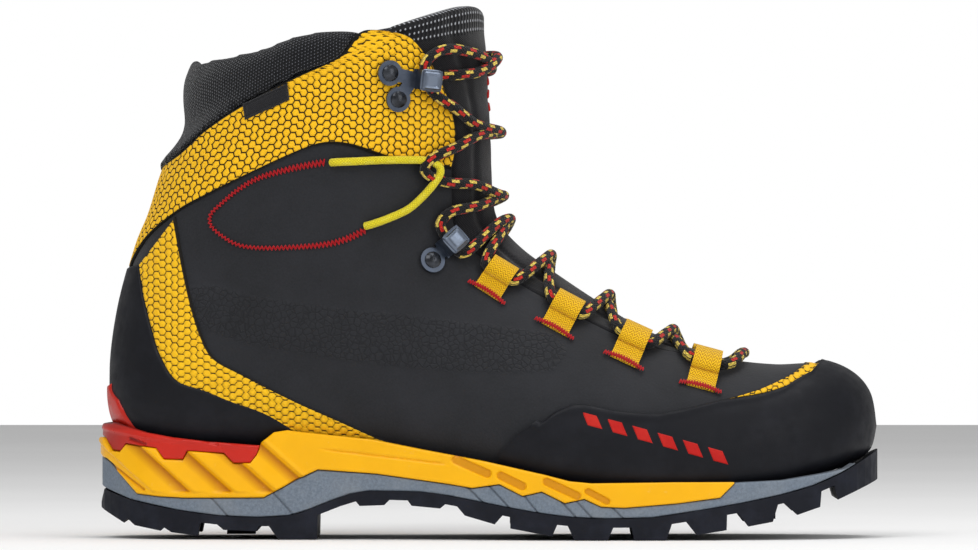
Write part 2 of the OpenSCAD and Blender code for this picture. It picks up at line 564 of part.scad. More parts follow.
// Straight neck of plate from a rivet centre to the fold
module link(c) {
    d = norm([c[0], c[1]]);
    rotate(atan2(c[1], c[0])) translate([0, -2.6, 0]) cube([d - rivet_hole_r - 1, 5.2, plate_t]);
}
INSTEP_AT = [132.6, 110.6, 43];    // x, z and turn of the fold of the lower hook
INSTEP_RIVETS = [[-5.2, 0]];
CUFF_AT = [121.2, 177.6, -6];      // the same for the upper hook
CUFF_RIVETS = [[-9.8, 1.2], [-5.2, -8.6]];
function turned(list, side) = [for (c = list) [c[0], -side * c[1]]];

module instep_hook(side) {
    on_skin(INSTEP_AT[0], INSTEP_AT[1], INSTEP_AT[2], gap, side) hook(turned(INSTEP_RIVETS, side), 2.2);
}
module cuff_hook(side) {
    on_skin(CUFF_AT[0], CUFF_AT[1], CUFF_AT[2], 1.2 + gap, side) hook(turned(CUFF_RIVETS, side), 2.2);
}
module hook_rivets(where, rivets, off) {
    color("#3b3c40") for (side = [-1, 1]) on_skin(where[0], where[1], where[2], off, side)
        for (c = turned(rivets, side)) rivet_head(c);
}
// Domed head on a stem that stops at the plate's own underside
module rivet_head(c) {
    translate([c[0], c[1], 0]) {
        cylinder(r = rivet_hole_r - 0.05, h = plate_t + 1);
        intersection() {
            translate([0, 0, plate_t + 0.05 - 3.4]) sphere(r = 5);
            translate([0, 0, plate_t + 0.05]) cylinder(r = 3.2, h = 3);
        }
    }
}

// ---------------------------------------------------------------- lace, loops, cord and stitching

// Middle of each webbing loop in the side view and its slope
LOOPS = [[154.8, 101.6, -33], [180.4, 87.8, -29], [206.6, 75.6, -25], [234.8, 66.0, -15]];
loop_len = 11;
loop_r = lace_r + 1.2;
module lace_loops(side) {
    color("#f4b512") for (q = LOOPS) on_skin(q[0], q[1], q[2], loop_r + gap, side)
        rotate([0, 90, 0]) difference() {
            union() {
                cylinder(r = loop_r, h = loop_len, center = true);
                translate([0, side * 3.2, 0]) linear_extrude(loop_len, center = true)
                    translate([loop_r - 1.9, -2.6]) square([1.2, 5.2]);
            }
            cylinder(r = lace_r + 0.35, h = loop_len + 2, center = true);
        }
}
module loop_stitching(side) {
    color("#b5121b") for (q = LOOPS) {
        d = [cos(q[2]), sin(q[2])];
        n = [-sin(q[2]), cos(q[2])];
        c = [q[0], q[1]] - 7.4 * n;
        sheet(ribbon([c - 8 * d, c + 8 * d], [c - 8 * d - 1.8 * n, c + 8 * d - 1.8 * n], 5, 1, side),
              gap, 1.0, flip = side > 0);
    }
}
over = 4.2;
loop_reach = 9.4;               // from a loop's middle to where its lace turns away
lift = lace_d + 0.6;
function loop_end(i, dir, side) =
    let (q = LOOPS[i], d = dir * loop_reach)
    concat(at(q[0] + d * cos(q[2]), q[1] + d * sin(q[2]), side), [loop_r + gap + 0.2]);
// One crossing between neighbouring loops, from side `side` at the front to the other at the back
module crossing(front, back, side, raise) {
    a = loop_end(front, -1, side);
    b = loop_end(back, 1, -side);
    m = [(a[0] + b[0]) / 2, 0, over + (raise ? lift : 0)];
    cord(smooth([a, [lerp(a[0], m[0], .6), a[1] * .5, over + (raise ? 2 : 0)], m,
                [lerp(b[0], m[0], .6), b[1] * .5, over + (raise ? 2 : 0)], b], 2), lace_r);
}
module lace_lower() {
    a = loop_end(3, 1, -1);
    b = loop_end(3, 1, 1);
    color("#1c1c1f") {
        cord(smooth([a, [4.72, -.15, over], [4.6, 0, over], [4.72, .14, over], b], 2), lace_r);
        for (i = [0 : 2]) for (side = [-1, 1]) crossing(i + 1, i, side, side > 0);
        for (i = [0 : 3]) for (side = [-1, 1]) loop_core(i, side);
        for (side = [-1, 1]) instep_run(side);
    }
}
// The stretch of lace inside a loop
module loop_core(i, side) {
    q = LOOPS[i];
    on_skin(q[0], q[1], q[2], loop_r + gap, side)
        rotate([0, 90, 0]) cylinder(r = lace_r, h = 2 * loop_reach - 1.5, center = true);
}
module instep_run(side) {
    a = loop_end(0, -1, side);
    raise = side > 0 ? lift : 0;
    cord(smooth([a, [12.2, side * .10, over + 0.2 * raise], [12.9, 0, over + raise],
                [13.4, -side * .11, over + 0.2 * raise], [13.9, -side * .19, over]], 2), lace_r);
}
module lace_upper() {
    color("#1c1c1f") for (side = [-1, 1]) {
        raise = side > 0 ? lift : 0;
        cord(smooth(concat(traced([[127, 152.2, 4.1], [132.5, 153.8, 4.1]], side),
                    [[18.95, side * .13, over + .2 * raise], [19.35, 0, over + raise],
                     [19.75, -side * .13, over + .2 * raise], [20.1, -side * .23, over]],
                    traced([[127, 169.5, 4.3]], -side)), 2), lace_r);
        cord(smooth(concat(traced([[123, 184.8, 4.3], [128.5, 188.2, 4.4]], side),
                    [[20.95, side * .2, over], [20.75, side * .1, over], [20.7, 0, over],
                     [20.5, -side * .1, over]]), 2), lace_r);
    }
}
module ankle_cord(side) {
    color("#f1dc2a")
        cord(smooth(traced([[93, 145.4, 2.8], [108, 146, 3.0], [120.5, 146.3, 3.4], [128.6, 143.5, 4.2],
                           [124, 134.5, 4.0], [116, 127.5, 3.2], [107, 122.6, 2.8]], side), 3), 1.5);
}
STITCH_TOP = [[87, 145.4], [76, 142.6], [64, 137.4], [52, 132.6]];
STITCH_LOW = [[55, 113.4], [66, 112.4], [80, 112.6], [92, 114.4], [103, 119.0]];
module stitch_line(edge, w, side) {
    sheet(ribbon(edge, shifted(edge, -w), 6, 1, side), gap, 0.9, flip = side > 0);
}
module panel_stitching_upper() {
    color("#b5121b") for (side = [-1, 1]) stitch_line(STITCH_TOP, 2, side);
}
module panel_stitching_lower() {
    color("#b5121b") for (side = [-1, 1]) stitch_line(STITCH_LOW, 1.6, side);
}

// ---------------------------------------------------------------- the boot

module place() { translate([-rest_x, 0, 0]) children(); }
function shown(name) = node == "all" || node == name;

if (shown("outsole")) place() outsole();
if (shown("midsole")) place() midsole();
if (shown("midsole_frame")) place() midsole_frame();
if (shown("crampon_heel_insert")) place() crampon_heel_insert();
if (shown("shank")) place() shank();
if (shown("lasting_board")) place() lasting_board();
if (shown("upper_leather")) place() upper_leather();
if (shown("lining_boot")) place() lining_boot();
if (shown("heel_counter")) place() heel_counter();
if (shown("toe_puff")) place() toe_puff();
if (shown("toe_rand")) place() toe_rand();
if (shown("heel_rand")) place() heel_rand();
if (shown("toe_strip")) place() toe_strip();
if (shown("heel_strap_lateral")) place() heel_strap(-1);
if (shown("heel_strap_medial")) place() heel_strap(1);
if (shown("tongue_lower")) place() tongue_lower();
if (shown("gusset_lateral")) place() gusset(-1);
if (shown("gusset_medial")) place() gusset(1);
if (shown("lace_loops_lateral")) place() lace_loops(-1);
if (shown("lace_loops_medial")) place() lace_loops(1);
if (shown("loop_stitching_lateral")) place() loop_stitching(-1);
if (shown("loop_stitching_medial")) place() loop_stitching(1);
if (shown("instep_hook_lateral")) place() instep_hook(-1);
if (shown("instep_hook_medial")) place() instep_hook(1);
if (shown("instep_hook_rivets")) place() hook_rivets(INSTEP_AT, INSTEP_RIVETS, gap);
if (shown("panel_stitching_lower")) place() panel_stitching_lower();
if (shown("lace_lower")) place() lace_lower();
if (shown("cuff_panel_lateral")) place() cuff_panel(-1);
if (shown("cuff_panel_medial")) place() cuff_panel(1);
if (shown("collar_guard_lateral")) place() collar_guard(-1);
if (shown("collar_guard_medial")) place() collar_guard(1);
if (shown("collar_foam")) place() collar_foam();
if (shown("collar_mesh")) place() collar_mesh();
if (shown("lining_cuff")) place() lining_cuff();
if (shown("ankle_pad_lateral")) place() ankle_pad(-1);
if (shown("ankle_pad_medial")) place() ankle_pad(1);
if (shown("tongue_upper")) place() tongue_upper();
if (shown("tongue_badge")) place() tongue_badge();
if (shown("cuff_hook_lateral")) place() cuff_hook(-1);
if (shown("cuff_hook_medial")) place() cuff_hook(1);
if (shown("cuff_hook_rivets")) place() hook_rivets(CUFF_AT, CUFF_RIVETS, 1.2 + gap);
if (shown("ankle_cord_lateral")) place() ankle_cord(-1);
if (shown("ankle_cord_medial")) place() ankle_cord(1);
if (shown("panel_stitching_upper")) place() panel_stitching_upper();
if (shown("side_label")) place() side_label();
if (shown("lace_upper")) place() lace_upper();
if (shown("tongue_tip")) place() tongue_tip();
if (shown("footbed")) place() footbed();
if (shown("footbed_cover")) place() footbed_cover();
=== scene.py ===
import math

import bpy
import numpy as np
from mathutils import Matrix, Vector, kdtree

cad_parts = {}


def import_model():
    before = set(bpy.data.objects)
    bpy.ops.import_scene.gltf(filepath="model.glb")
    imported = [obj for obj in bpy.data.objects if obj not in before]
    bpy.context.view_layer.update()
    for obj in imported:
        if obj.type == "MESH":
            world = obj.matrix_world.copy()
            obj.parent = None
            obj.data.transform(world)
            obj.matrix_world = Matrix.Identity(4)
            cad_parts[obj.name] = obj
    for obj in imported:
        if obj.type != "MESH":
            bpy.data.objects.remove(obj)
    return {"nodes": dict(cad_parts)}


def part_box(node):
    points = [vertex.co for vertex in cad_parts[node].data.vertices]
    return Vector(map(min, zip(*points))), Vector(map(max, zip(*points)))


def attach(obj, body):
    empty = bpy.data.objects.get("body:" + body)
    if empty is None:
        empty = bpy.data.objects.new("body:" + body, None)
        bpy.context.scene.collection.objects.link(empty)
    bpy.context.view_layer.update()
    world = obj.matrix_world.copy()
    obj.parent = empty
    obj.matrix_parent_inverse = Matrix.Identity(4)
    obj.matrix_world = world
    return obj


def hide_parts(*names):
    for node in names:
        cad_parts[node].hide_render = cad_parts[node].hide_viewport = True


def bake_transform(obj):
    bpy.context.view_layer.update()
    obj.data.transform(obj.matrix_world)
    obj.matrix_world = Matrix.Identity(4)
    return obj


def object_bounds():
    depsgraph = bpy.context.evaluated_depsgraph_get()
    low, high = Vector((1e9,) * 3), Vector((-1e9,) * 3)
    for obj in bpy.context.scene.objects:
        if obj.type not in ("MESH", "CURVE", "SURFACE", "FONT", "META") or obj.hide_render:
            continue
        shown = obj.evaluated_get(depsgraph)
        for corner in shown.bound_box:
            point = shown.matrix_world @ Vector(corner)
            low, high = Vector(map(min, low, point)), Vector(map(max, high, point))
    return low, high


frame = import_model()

CAD_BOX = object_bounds()

# Drawn lengths are in millimetres from the back of the heel; the frame's origin is further forward
SOLE_LOW, SOLE_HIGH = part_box("outsole")
SOLE_LENGTH = 302.1
SCALE = (SOLE_HIGH.x - SOLE_LOW.x) / SOLE_LENGTH
HEEL_X = SOLE_LOW.x - 0.5 * SCALE


def world(points):
    return np.asarray(points, float) * SCALE + np.array([HEEL_X, 0, 0])


# ------------------------------------------------------------ the last

# [front x, z, back x, z, lateral half width, medial half width, middle y, share of the way to the
# widest place, front and back roundness], from the tip of the toe round to the top of the collar
LAST = np.array([
    [300.2, 43.0, 300.2, 43.0, 0.5, 0.5, 7.0, .60, 2.2, 2.6],
    [297.8, 55.4, 297.4, 33.6, 17.0, 17.0, 6.5, .62, 2.3, 3.0],
    [290.4, 63.2, 289.6, 29.0, 29.0, 28.5, 5.0, .64, 2.4, 3.4],
    [278.2, 67.2, 276.4, 23.7, 37.5, 36.0, 3.5, .66, 2.4, 3.6],
    [262.0, 67.0, 260.0, 19.0, 43.5, 42.0, 2.0, .70, 2.3, 3.8],
    [243.0, 69.3, 240.0, 16.2, 48.0, 46.0, 1.0, .72, 2.1, 3.8],
    [225.0, 74.6, 218.0, 15.0, 50.5, 47.5, 0.0, .72, 2.0, 3.8],
    [208.0, 82.4, 195.0, 15.4, 51.5, 46.0, 0.0, .72, 1.9, 3.6],
    [192.0, 92.5, 170.0, 17.6, 50.5, 42.5, 0.0, .70, 1.8, 3.4],
    [177.5, 102.3, 143.0, 21.8, 47.0, 39.0, 0.0, .66, 1.8, 3.2],
    [166.5, 110.2, 114.0, 25.6, 43.0, 37.0, 0.0, .60, 1.8, 3.2],
    [160.0, 116.0, 84.0, 27.6, 41.0, 37.5, 0.0, .56, 1.9, 3.2],
    [156.6, 120.0, 52.0, 28.2, 40.5, 39.0, 0.0, .54, 2.0, 3.2],
    [154.8, 123.0, 23.0, 31.5, 40.5, 39.5, 0.0, .53, 2.1, 3.0],
    [153.8, 125.6, 8.0, 45.0, 40.5, 40.0, 0.0, .52, 2.1, 2.7],
    [153.2, 128.2, 5.4, 64.0, 40.5, 40.0, 0.0, .51, 2.1, 2.35],
    [152.8, 131.0, 8.2, 88.0, 40.5, 40.5, 0.0, .50, 2.1, 2.1],
    [152.5, 134.5, 14.6, 112.0, 41.0, 41.0, 0.0, .50, 2.1, 2.1],
    [152.0, 148.5, 19.8, 125.0, 41.5, 41.5, 0.0, .50, 2.1, 2.1],
    [151.3, 162.5, 24.0, 138.5, 42.0, 42.0, 0.0, .50, 2.1, 2.1],
    [150.5, 176.5, 29.0, 153.0, 42.5, 42.5, 0.0, .50, 2.1, 2.1],
    [149.6, 190.0, 32.8, 169.0, 43.5, 43.5, 0.0, .50, 2.1, 2.1],
    [148.6, 207.0, 34.8, 187.5, 44.5, 44.5, 0.0, .50, 2.1, 2.1],
])
U_END = len(LAST) - 1
U_FLEX = 18
U_MOUTH = 21.5
U_THROAT = 5


def row(table, at):
    """Smooth curve through the rows of a table, at fractional row numbers."""
    table = np.asarray(table, float)
    n = len(table) - 1
    c = np.clip(np.asarray(at, float), 0, n)
    i = np.minimum(np.floor(c).astype(int), n - 1)
    f = (c - i)[..., None]
    a, b, d, e = table[np.maximum(i - 1, 0)], table[i], table[i + 1], table[np.minimum(i + 2, n)]
    return 0.5 * (2 * b + (d - a) * f + (2 * a - 5 * b + 4 * d - e) * f ** 2
                  + (3 * b - a - 3 * d + e) * f ** 3)


def skin(u, v):
    """Points of the last: v is 0 at the front line, 1 at the back line, negative laterally."""
    u, v = np.broadcast_arrays(np.asarray(u, float), np.asarray(v, float))
    v = np.where(v > 1, v - 2, np.where(v < -1, v + 2, v))
    s = row(LAST, u)
    a = np.abs(v) * np.pi
    c, q = np.abs(np.cos(a)), np.abs(np.sin(a))
    upper = a <= np.pi / 2
    n = np.where(upper, s[..., 8], s[..., 9])
    r = (c ** n + q ** n) ** (-1 / n)
    f = np.where(upper, s[..., 7] * (1 - r * c), s[..., 7] + (1 - s[..., 7]) * r * c)
    w = np.where(v < 0, -s[..., 4], s[..., 5])
    return np.stack([s[..., 0] + (s[..., 2] - s[..., 0]) * f, s[..., 6] + w * r * q,
                     s[..., 1] + (s[..., 3] - s[..., 1]) * f], -1)


def skin_normal(u, v):
    u, v = np.broadcast_arrays(np.asarray(u, float), np.asarray(v, float))
    du, dv = 0.01, 0.002
    lengthwise = skin(np.minimum(u + du, U_END), v) - skin(np.maximum(u - du, 0), v)
    sideways = skin(u, v + dv) - skin(u, v - dv)
    n = np.cross(sideways, lengthwise)
    n = n / np.maximum(np.linalg.norm(n, axis=-1, keepdims=True), 1e-9)
    return np.where((u < 0.02)[..., None], np.array([1.0, 0, 0]), n)


def spots(uv):
    """Points of the last at [u, v]."""
    return skin(uv[..., 0], uv[..., 1])


def on_skin(path):
    """Points at [u, v, height], and the last's normals there."""
    path = np.asarray(path, float)
    up = skin_normal(path[..., 0], path[..., 1])
    return spots(path) + path[..., 2:3] * up, up


def uv_at(points, side):
    """[u, v] of the points that the side view shows at [x, z]."""
    points = np.asarray(points, float)
    x, z = points[..., 0], points[..., 1]
    low, high = np.zeros_like(x), np.full_like(x, U_END)
    for _ in range(28):
        mid = (low + high) / 2
        s = row(LAST, mid)
        g = (s[..., 2] - s[..., 0]) * (z - s[..., 1]) - (s[..., 3] - s[..., 1]) * (x - s[..., 0])
        low, high = np.where(g < 0, mid, low), np.where(g < 0, high, mid)
    u = (low + high) / 2
    s = row(LAST, u)
    dx, dz = s[..., 2] - s[..., 0], s[..., 3] - s[..., 1]
    f = ((x - s[..., 0]) * dx + (z - s[..., 1]) * dz) / (dx * dx + dz * dz)
    upper = f < s[..., 7]
    n = np.where(upper, s[..., 8], s[..., 9])
    c = np.clip(np.where(upper, 1 - f / s[..., 7], (f - s[..., 7]) / (1 - s[..., 7])), 1e-4, 0.9999)
    a = np.degrees(np.arctan(np.maximum((1 / c) ** n - 1, 0) ** (1 / n)))
    return np.stack([u, side * np.where(upper, a, 180 - a) / 180], -1)


def traced(points, side):
    """[u, v, height] of side view points given as [x, z, height]."""
    points = np.asarray(points, float)
    return np.concatenate([uv_at(points, side), points[:, 2:3]], -1)


# ------------------------------------------------------------ curves

def along(points, axis=0):
    """Distance run along a line, or along one axis of a grid of points."""
    first = np.take(points, [0], axis)
    return np.cumsum(np.linalg.norm(np.diff(points, axis=axis, prepend=first), axis=-1), axis)


def resampled(values, run, count):
    """Rows of values at even steps of the distance run beside them."""
    at = np.linspace(0, run[-1], count)
    return np.stack([np.interp(at, run, column) for column in values.T], -1)


def curve(points, count):
    """Evenly spaced points on a smooth curve through the given ones."""
    fine = row(points, np.linspace(0, len(points) - 1, 40 * len(points)))
    return resampled(fine, along(fine), count)


def even(path, step):
    """The path of [u, v, height] as a smooth curve with even steps in space."""
    fine = row(path, np.linspace(0, len(path) - 1, 60 * len(path)))
    run = along(on_skin(fine)[0])
    return resampled(fine, run, max(int(run[-1] / step), 4))


def headings(path):
    t = np.gradient(path, axis=0)
    return t / np.linalg.norm(t, axis=1, keepdims=True)


def left_of(heading):
    return np.stack([-heading[:, 1], heading[:, 0]], -1)


def steady(table):
    """Function of one variable: a smooth curve through a table of [position, value]."""
    fine = row(table, np.linspace(0, len(table) - 1, 24 * len(table)))
    order = np.argsort(fine[:, 0], kind="stable")
    return lambda x: np.interp(x, fine[order, 0], fine[order, 1])


def line(table):
    """Function of one variable: straight runs through a table of [position, value]."""
    t = np.array(sorted(table))
    return lambda x: np.interp(x, t[:, 0], t[:, 1])


def ease(x, low, high):
    t = np.clip((np.asarray(x, float) - low) / (high - low), 0, 1)
    return t * t * (3 - 2 * t)


def bell(x, middle, width):
    return np.exp(-((np.asarray(x, float) - middle) / width) ** 2)


def rounding(distance, radius):
    """Drop of a surface near its edge, 0 at `radius` from it and 1 at the edge."""
    t = np.clip(1 - np.asarray(distance, float) / radius, 0, 1)
    return 1 - np.sqrt(1 - t * t * 0.999)


# ------------------------------------------------------------ meshes

def mesh_object(name, points, faces, look, attrs, sharp):
    mesh = bpy.data.meshes.new(name)
    mesh.from_pydata(world(points).tolist(), [], faces)
    mesh.update()
    for key, values in attrs.items():
        values = np.asarray(values, np.float32)
        flat = values.ndim == 1
        if not flat:
            values = np.pad(values, ((0, 0), (0, 3 - values.shape[1])))
        layer = mesh.attributes.new(key, "FLOAT" if flat else "FLOAT_VECTOR", "POINT")
        layer.data.foreach_set("value" if flat else "vector", values.ravel())
    mesh.polygons.foreach_set("use_smooth", np.ones(len(mesh.polygons), bool))
    mesh.set_sharp_from_angle(angle=math.radians(sharp))
    mesh.materials.append(look)
    obj = bpy.data.objects.new(name, mesh)
    bpy.context.scene.collection.objects.link(obj)
    return obj


def cleaned(face):
    """The face without repeated corners, or None if nothing is left of it."""
    kept = [v for i, v in enumerate(face) if v != face[i - 1]]
    return kept if len(kept) > 2 else None


def slab(name, top, low, quads, look, attrs, sharp):
    """Closed solid between two layers of points that share one set of quads."""
    n = len(top)
    e = np.concatenate([quads[:, [0, 1]], quads[:, [1, 2]], quads[:, [2, 3]], quads[:, [3, 0]]])
    e = e[e[:, 0] != e[:, 1]]
    key = e.min(1).astype(np.int64) * n + e.max(1)
    _, first, count = np.unique(key, return_index=True, return_counts=True)
    rim = e[first[count == 1]]
    walls = np.stack([rim[:, 1], rim[:, 0], rim[:, 0] + n, rim[:, 1] + n], 1)
    faces = np.concatenate([quads, quads[:, ::-1] + n, walls])
    corner = top[quads]
    facing = np.cross(corner[:, 2] - corner[:, 0], corner[:, 3] - corner[:, 1])
    if (facing * (top - low)[quads[:, 0]]).sum() < 0:
        faces = faces[:, ::-1]
    used, back = np.unique(faces, return_inverse=True)
    faces = [f for f in map(cleaned, back.reshape(faces.shape).tolist()) if f]
    doubled = {k: np.concatenate([a, a])[used] for k, a in attrs.items()}
    return mesh_object(name, np.concatenate([top, low])[used], faces, look, doubled, sharp)


def shell(name, uv, quads, outer, inner, look, attrs, sharp):
    """Slab between two heights over the last."""
    heights = [np.broadcast_to(height, len(uv))[:, None] for height in (outer, inner)]
    top, low = (on_skin(np.concatenate([uv, height], -1))[0] for height in heights)
    return slab(name, top, low, quads, look, attrs, sharp)


def grid_quads(index):
    return np.stack([index[:-1, :-1], index[1:, :-1], index[1:, 1:], index[:-1, 1:]], -1).reshape(-1, 4)


def quads_of(grid):
    """Quads of a grid whose corners are counted row by row."""
    return grid_quads(np.arange(grid.shape[0] * grid.shape[1]).reshape(grid.shape[:2]))


def sheet(name, uv, outer, inner, look, attrs=None, sharp=60):
    """Slab over a grid of [u, v]; heights and attributes are given for each grid point."""
    flat = {key: a.reshape(-1, *a.shape[2:]) for key, a in (attrs or {}).items()}
    return shell(name, uv.reshape(-1, 2), quads_of(uv), np.ravel(outer), np.ravel(inner), look, flat, sharp)


def flanks(us, high, low, steps, join_high=None, join_low=None, lines=None):
    """Both sides of the last between two v limits: [u, v] points and quads."""
    v = high[:, None] + (low - high)[:, None] * steps
    u = np.repeat(us[:, None], len(steps), 1)
    if lines is not None:
        u = lines(u, v)
    a = np.arange(u.size).reshape(u.shape)
    b = a + u.size
    if join_high is not None:
        b[join_high, 0] = a[join_high, 0]
    if join_low is not None:
        b[join_low, -1] = a[join_low, -1]
    if us[0] == 0:
        a[0, :] = a[0, 0]
        b[0, :] = a[0, 0]
    uv = np.concatenate([np.stack([u, -v], -1).reshape(-1, 2), np.stack([u, v], -1).reshape(-1, 2)])
    return uv, np.concatenate([grid_quads(a), grid_quads(b)[:, ::-1]])


def crossed(rows, cols):
    return np.meshgrid(rows, cols, indexing="ij")


def patch(start, end, first, last, rows, cols):
    """Grid of [u, v] inside four edges, `start` and `end` running from `first` to `last`."""
    s = np.linspace(0, 1, cols)[None, :, None]
    t = np.linspace(0, 1, rows)[:, None, None]
    a, b = curve(start, cols)[None], curve(end, cols)[None]
    c, d = curve(first, rows)[:, None], curve(last, rows)[:, None]
    corners = ((1 - t) * ((1 - s) * a[:, :1] + s * a[:, -1:]) + t * ((1 - s) * b[:, :1] + s * b[:, -1:]))
    return (1 - t) * a + t * b + (1 - s) * c + s * d - corners


def ribbon(edge_a, edge_b, rows, cols, side):
    """Grid of [u, v] between two edges drawn in the side view as [x, z]."""
    a, b = curve(edge_a, rows), curve(edge_b, rows)
    t = np.linspace(0, 1, cols)[None, :, None]
    return uv_at(a[:, None] * (1 - t) + b[:, None] * t, side)


def arc_map(points):
    """Distances along the columns and rows of a grid of points, in millimetres."""
    down, across = along(points), along(points, 1)
    middle = slice(points.shape[1] // 2, points.shape[1] // 2 + 1)
    return np.stack([np.repeat(down[:, middle], points.shape[1], 1), across - across[:, middle]], -1)


def edge_distance(points):
    """Distance of each grid point from the nearest side of its grid, in millimetres."""
    down, across = along(points), along(points, 1)
    return np.minimum(np.minimum(down, down[-1:] - down), np.minimum(across, across[:, -1:] - across))


def tube(name, points, up, radius, look, sides=12):
    """Round tube along points; radius may be an array of rings by sides."""
    t = headings(points)
    b = np.cross(t, up)
    b /= np.maximum(np.linalg.norm(b, axis=1, keepdims=True), 1e-9)
    c = np.cross(b, t)
    angle = np.linspace(0, 2 * np.pi, sides, endpoint=False)
    radius = np.broadcast_to(radius, (len(points), sides))
    ring = points[:, None] + radius[..., None] * (np.cos(angle)[:, None] * b[:, None]
                                                  + np.sin(angle)[:, None] * c[:, None])
    index = np.arange(len(points) * sides).reshape(-1, sides)
    nxt = np.roll(index, -1, 1)
    faces = np.stack([index[:-1], nxt[:-1], nxt[1:], index[1:]], -1).reshape(-1, 4).tolist()
    faces += [index[0, ::-1].tolist(), index[-1].tolist()]
    turn = np.abs(angle / np.pi - 1)
    data = {"run": np.repeat(along(points), sides), "turn": np.tile(turn, len(points))}
    return mesh_object(name, ring.reshape(-1, 3), faces, look, data, 60)


def joined(name, parts):
    """One object from several."""
    with bpy.context.temp_override(active_object=parts[0], object=parts[0],
                                   selected_objects=parts, selected_editable_objects=parts):
        bpy.ops.object.join()
    parts[0].name = name
    return parts[0]


def bends(obj, slot, *nodes):
    """A soft piece that crosses the ankle."""
    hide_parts(*nodes)
    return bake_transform(obj)


def rides(obj, body, slot, *nodes):
    """A piece that moves with one body."""
    if nodes:
        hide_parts(*nodes)
    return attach(obj, body)


# ------------------------------------------------------------ materials

def rgb(r, g, b):
    c = np.array([r, g, b]) / 255
    c = np.where(c <= 0.04045, c / 12.92, ((c + 0.055) / 1.055) ** 2.4)
    return (*c.tolist(), 1.0)


class Look:
    """Wires one procedural material; sizes are in millimetres."""

    def __init__(self, name):
        self.material = bpy.data.materials.new(name)
        self.material.use_nodes = True
        self.tree = self.material.node_tree
        self.tree.nodes.clear()
        self.bsdf = self.add("ShaderNodeBsdfPrincipled")
        out = self.add("ShaderNodeOutputMaterial")
        self.tree.links.new(self.bsdf.outputs[0], out.inputs[0])
        self.place = self.add("ShaderNodeTexCoord").outputs["Object"]
        self.normal = None

    def add(self, kind, **props):
        node = self.tree.nodes.new(kind)
        for key, value in props.items():
            setattr(node, key, value)
        return node

    def wire(self, sockets, values):
        for socket, value in zip(sockets, values):
            if isinstance(value, bpy.types.NodeSocket):
                self.tree.links.new(value, socket)
            else:
                socket.default_value = value

    def math(self, op, a, b=0.0):
        node = self.add("ShaderNodeMath", operation=op)
        self.wire(node.inputs, (a, b))
        return node.outputs[0]

    def times(self, a, b):
        return self.math("MULTIPLY", a, b)

    def wave(self, value, turn):
        return self.math("SINE", self.times(value, turn))

    def attr(self, name, out="Fac"):
        return self.add("ShaderNodeAttribute", attribute_name=name).outputs[out]

    def split(self, vector):
        node = self.add("ShaderNodeSeparateXYZ")
        self.wire(node.inputs, [vector])
        return node.outputs

    def texture(self, kind, size, **props):
        node = self.add(kind, **props)
        self.wire([node.inputs["Vector"], node.inputs["Scale"]], (self.place, 1000 / size))
        return node

    def noise(self, size, detail, rough=0.55):
        node = self.texture("ShaderNodeTexNoise", size)
        self.wire([node.inputs["Detail"], node.inputs["Roughness"]], (detail, rough))
        return node.outputs[0]

    def cells(self, size, feature="F1"):
        return self.texture("ShaderNodeTexVoronoi", size, feature=feature).outputs["Distance"]

    def span(self, value, a, b, low=0.0, high=1.0):
        node = self.add("ShaderNodeMapRange")
        self.wire(node.inputs[:5], (value, a, b, low, high))
        return node.outputs[0]

    def cloud(self, size, detail, a, b, low=0.0, high=1.0, rough=0.55):
        return self.span(self.noise(size, detail, rough), a, b, low, high)

    def mix(self, share, a, b):
        node = self.add("ShaderNodeMix", data_type="RGBA")
        self.wire([node.inputs[0], node.inputs[6], node.inputs[7]], (share, a, b))
        return node.outputs[2]

    def bump(self, height, depth, strength):
        node = self.add("ShaderNodeBump")
        values = {"Strength": strength, "Distance": depth / 1000, "Height": height}
        if self.normal is not None:
            values["Normal"] = self.normal
        self.wire([node.inputs[key] for key in values], values.values())
        self.normal = node.outputs[0]

    def done(self, colour, rough, metal=0.0, sheen=0.0, shine=0.16):
        values = {"Base Color": colour, "Roughness": rough, "Metallic": metal, "Specular IOR Level": shine,
                  "Sheen Weight": sheen}
        if self.normal is not None:
            values["Normal"] = self.normal
        self.wire([self.bsdf.inputs[key] for key in values], values.values())
        return self.material


def nubuck():
    """Matt grained leather with a pebbled band, painted shade between the pebbles, and a darker cut edge."""
    k = Look("nubuck")
    base = k.mix(k.cloud(26, 3, 0.3, 0.7), rgb(29, 30, 33), rgb(38, 39, 43))
    fine = k.noise(0.7, 4, 0.7)
    base = k.mix(k.span(fine, 0.35, 0.75, 0, 0.3), base, rgb(60, 61, 66))
    band = k.attr("pebble")
    pebble = k.times(k.span(k.cells(2.3, "DISTANCE_TO_EDGE"), 0.0, 0.16), band)
    # Painted shade: the valleys between the pebbles go darker.
    valley = k.math("SUBTRACT", band, pebble)
    base = k.mix(k.span(valley, 0.3, 1.0, 0.0, 0.55), base, rgb(22, 22, 25))
    base = k.mix(k.span(k.attr("rim"), 0.0, 1.2, 0.75, 0.0), base, rgb(15, 15, 17))
    k.bump(pebble, 0.35, 0.7)
    k.bump(k.cells(1.1), 0.10, 0.55)
    k.bump(fine, 0.10, 0.5)
    k.bump(k.noise(7, 2), 0.5, 0.35)
    return k.done(base, k.span(fine, 0.3, 0.8, 0.58, 0.8), sheen=0.12)


def rubber(name, dark, light, rough=0.55, grain=0.5):
    """Moulded rubber with a fine tooth and dusty wear."""
    k = Look(name)
    k.bump(k.noise(grain, 3, 0.6), 0.08, 0.5)
    k.bump(k.noise(9, 2), 0.3, 0.2)
    return k.done(k.mix(k.cloud(14, 5, 0.45, 0.8, rough=0.65), dark, light),
                  k.cloud(5, 3, 0.3, 0.7, rough - 0.08, rough + 0.1))


